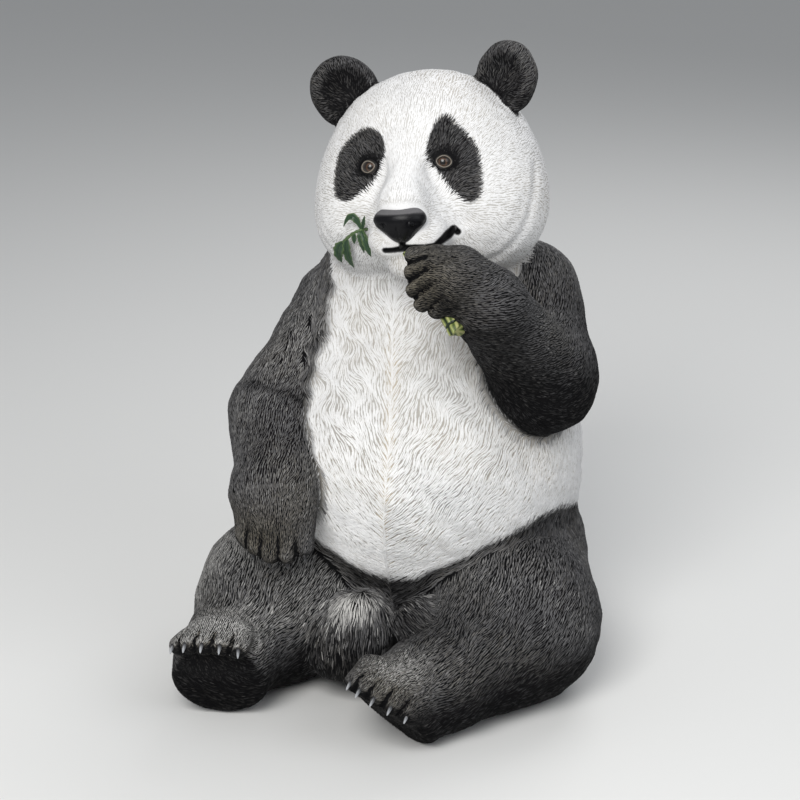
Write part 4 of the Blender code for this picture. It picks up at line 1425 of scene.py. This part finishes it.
def makeClaw(root, tip, row):
    ahead, down = unit(np.subtract(tip, root)), unit(np.array(row["down"]))
    start = tip + ahead * row["out"][0] - down * row["out"][1]
    end = start + ahead * row["reach"][0] + down * row["reach"][1]
    bend = ahead * 0.0015 - down * 0.0008
    axis = unit(end - start)
    side = unit(np.cross(axis, down))
    share = np.linspace(0, 0.985, clawLook["rows"])[:, None, None]
    turn = fullTurn(clawLook["sides"])[None, :, None]
    size = clawLook["radius"] * (1 - share ** 2.6) ** 0.5 * (1 - 0.38 * share) * (1 + 0.05 * np.cos(turn * 3))
    middles = start + (end - start) * share + bend * 4 * share * (1 - share)
    rings = ringsRound(middles, 0.8 * side, np.cross(side, axis), size, turn)
    bright = np.repeat(share[:, :, 0] * row["silver"], clawLook["sides"], axis=1)
    return ringPiece("claw", rings, rings[0].mean(0), end, values={"bright": bright})


def clawPaint():
    material, shader = newPaint("clawPaint", 0.34, 0.5)
    streaks = noiseOf(material, 620.0)
    coloured(material, shader, "bright", streaks, 0.30, (
        (0.30, (0.015, 0.015, 0.017)), (0.62, (0.16, 0.165, 0.175)), (0.95, (0.36, 0.37, 0.39))))
    bumped(material, shader, streaks, 0.35, 0.0004)
    return material


clawMaterial = clawPaint()
for name, row in clawRows.items():
    digitsHere = row["digits"][row["side"]]
    horns = [makeClaw(root, tip, row) for root, tip in zip(digitsHere["roots"], digitsHere["tips"])]
    finished(merged(name, horns), clawMaterial, "claw_grey", *[f"{row['node']}_{k}" for k in range(1, 6)])
print("claws made")


# the bamboo stalk held to the mouth, and the sprig at its right corner
# the stalk's lower end is given on the statue and its upper end on the head, as all of the sprig is
stalkLook = {"ends": ((0.1235, -0.358, 0.6785), (0.0050, -0.217, -0.0845)), "radius": 0.0125, "taper": 0.58,
             "rows": 90, "sides": 42, "uneven": 0.0035,
             # the joints along it: where, how high or deep, how wide
             "knobs": ((0.035, 0.05, 0.02), (0.085, -0.10, 0.012), (0.55, 0.07, 0.015))}


def makeStalk():
    start, end = np.array(stalkLook["ends"][0]), onHead(*stalkLook["ends"][1])
    axis = unit(end - start)
    side = unit(np.cross(axis, (0, 0, 1.0)))
    share = np.linspace(0, 1, stalkLook["rows"])[:, None, None]
    turn = fullTurn(stalkLook["sides"])[None, :, None]
    size = stalkLook["radius"] * (1 - stalkLook["taper"] * share)
    flutes = 0.07 * np.cos(turn * 7 + 2.5 * np.sin(share * 9)) + 0.035 * np.cos(turn * 3 + 1.0)
    knob = sum(high * hump(share - at, wide) for at, high, wide in stalkLook["knobs"])
    size = size * np.clip(0.93 + flutes + knob, 0.7, 1.03)
    middles = start + (end - start) * share
    middles = middles - axis * stalkLook["uneven"] * np.cos(turn * 2 + 0.6) * (1 - smoothStep(share, 0, 0.06))
    rings = ringsRound(middles, side, np.cross(side, axis), size, turn)
    groove = np.broadcast_to(0.5 + flutes * 5 - 1.2 * (knob < -0.03), rings.shape[:2] + (1,))[..., 0]
    return ringPiece("stalkCarved", rings, start + axis * 0.003, end, values={"raised": groove})


def greenPaint(name, stops, mottling):
    material, shader = newPaint(name, 0.42, 0.4)
    mottle = noiseOf(material, mottling)
    coloured(material, shader, "raised", mottle, 0.45, stops)
    bumped(material, shader, mottle, 0.4, 0.0006)
    return material


sprigLook = {
    "twig": ((-0.064, -0.146, -0.056), (-0.080, -0.174, -0.047), (-0.111, -0.149, -0.073)), "radius": 0.0024,
    "sides": 12, "rows": 24, "leafRows": 26, "thick": 0.0011,
    "breadths": (-1, -0.66, -0.33, -0.08, 0, 0.08, 0.33, 0.66, 1),
    # where each leaf leaves the twig, where it bends and ends, and how broad it is
    "leaves": ((0.36, (-0.086, -0.172, -0.013), (-0.107, -0.154, -0.048), 0.010),
               (0.34, (-0.069, -0.172, -0.040), (-0.066, -0.176, -0.031), 0.005),
               (0.98, (-0.129, -0.142, -0.087), (-0.126, -0.114, -0.109), 0.017),
               (0.86, (-0.113, -0.144, -0.092), (-0.107, -0.114, -0.118), 0.013),
               (0.62, (-0.090, -0.160, -0.066), (-0.093, -0.151, -0.076), 0.007),
               (0.44, (-0.077, -0.168, -0.070), (-0.079, -0.148, -0.091), 0.009),
               (0.38, (-0.072, -0.170, -0.066), (-0.071, -0.163, -0.079), 0.007),
               (0.34, (-0.068, -0.172, -0.077), (-0.067, -0.155, -0.096), 0.011)),
}


def bentLine(start, bend, end, shares):
    shares = np.asarray(shares)[:, None]
    return start * (1 - shares) ** 2 + bend * 2 * shares * (1 - shares) + end * shares ** 2


def makeLeaf(start, bend, end, width):
    shares = np.linspace(0, 1, sprigLook["leafRows"])
    line = bentLine(start, bend, end, shares)
    ahead = unit(np.gradient(line, axis=0))
    side = unit(np.cross(ahead, headTurn @ (0, -1.0, 0)))
    face = np.cross(side, ahead)[:, None]
    half = (width / 2 * np.sin(math.pi * shares ** 0.75) + 0.0006)[:, None]
    half = half * (1 + 0.10 * np.sin(shares * 31))[:, None]
    spots = np.array(sprigLook["breadths"])
    fold = 0.30 * np.abs(spots) + 0.10 * np.cos(spots * 9) - 0.12 * (spots == 0)
    curl = 0.22 * np.sin(shares * 9 + 1)[:, None] * spots
    upper = line[:, None] + side[:, None] * (half * spots)[..., None]
    upper = upper + face * (half * (fold + curl) * 0.7 + 0.0005)[..., None]
    lower = (upper - face * (sprigLook["thick"] - 0.0005 * np.abs(spots))[None, :, None])[:, ::-1]
    tone = 0.62 * spots ** 2 + 0.5 * (spots == 0) + 0.10 * np.cos(spots * 20)
    tone = np.tile(np.concatenate([tone, tone[::-1] * 0.5]), (len(shares), 1))
    rings = np.concatenate([upper, lower], axis=1)
    return ringPiece("leaf", rings, line[0], line[-1], values={"raised": tone})


def makeSprig():
    root, bend, end = (onHead(*value) for value in sprigLook["twig"])
    shares = np.linspace(0, 1, sprigLook["rows"])
    line = bentLine(root, bend, end, shares)
    ahead = unit(np.gradient(line, axis=0))
    side = unit(np.cross(ahead, (0, 0, 1.0)))
    thick = sprigLook["radius"] * (1 + 0.18 * np.sin(shares * 40))[:, None, None]
    rings = ringsRound(line[:, None], side[:, None], np.cross(side, ahead)[:, None], thick,
                       fullTurn(sprigLook["sides"])[None, :, None])
    parts = [ringPiece("twig", rings, line[0], line[-1], values={"raised": np.full(rings.shape[:2], 0.55)})]
    for share, bendAt, endAt, width in sprigLook["leaves"]:
        parts.append(makeLeaf(bentLine(root, bend, end, [share])[0], onHead(*bendAt), onHead(*endAt), width))
    return merged("sprigLeaves", parts)


stalkPaint = greenPaint("stalkPaint", ((0.30, (0.012, 0.020, 0.008)), (0.58, (0.085, 0.115, 0.030)),
                                       (0.82, (0.20, 0.235, 0.070)), (1.0, (0.34, 0.34, 0.14))), 240.0)
leafPaint = greenPaint("leafPaint", ((0.15, (0.008, 0.028, 0.012)), (0.45, (0.014, 0.044, 0.019)),
                                     (0.80, (0.062, 0.108, 0.036)), (1.0, (0.16, 0.19, 0.07))), 380.0)
finished(makeStalk(), stalkPaint, "stalk_green", "bamboo_stalk")
finished(makeSprig(), leafPaint, "leaf_green", "bamboo_sprig")
print("bamboo made")
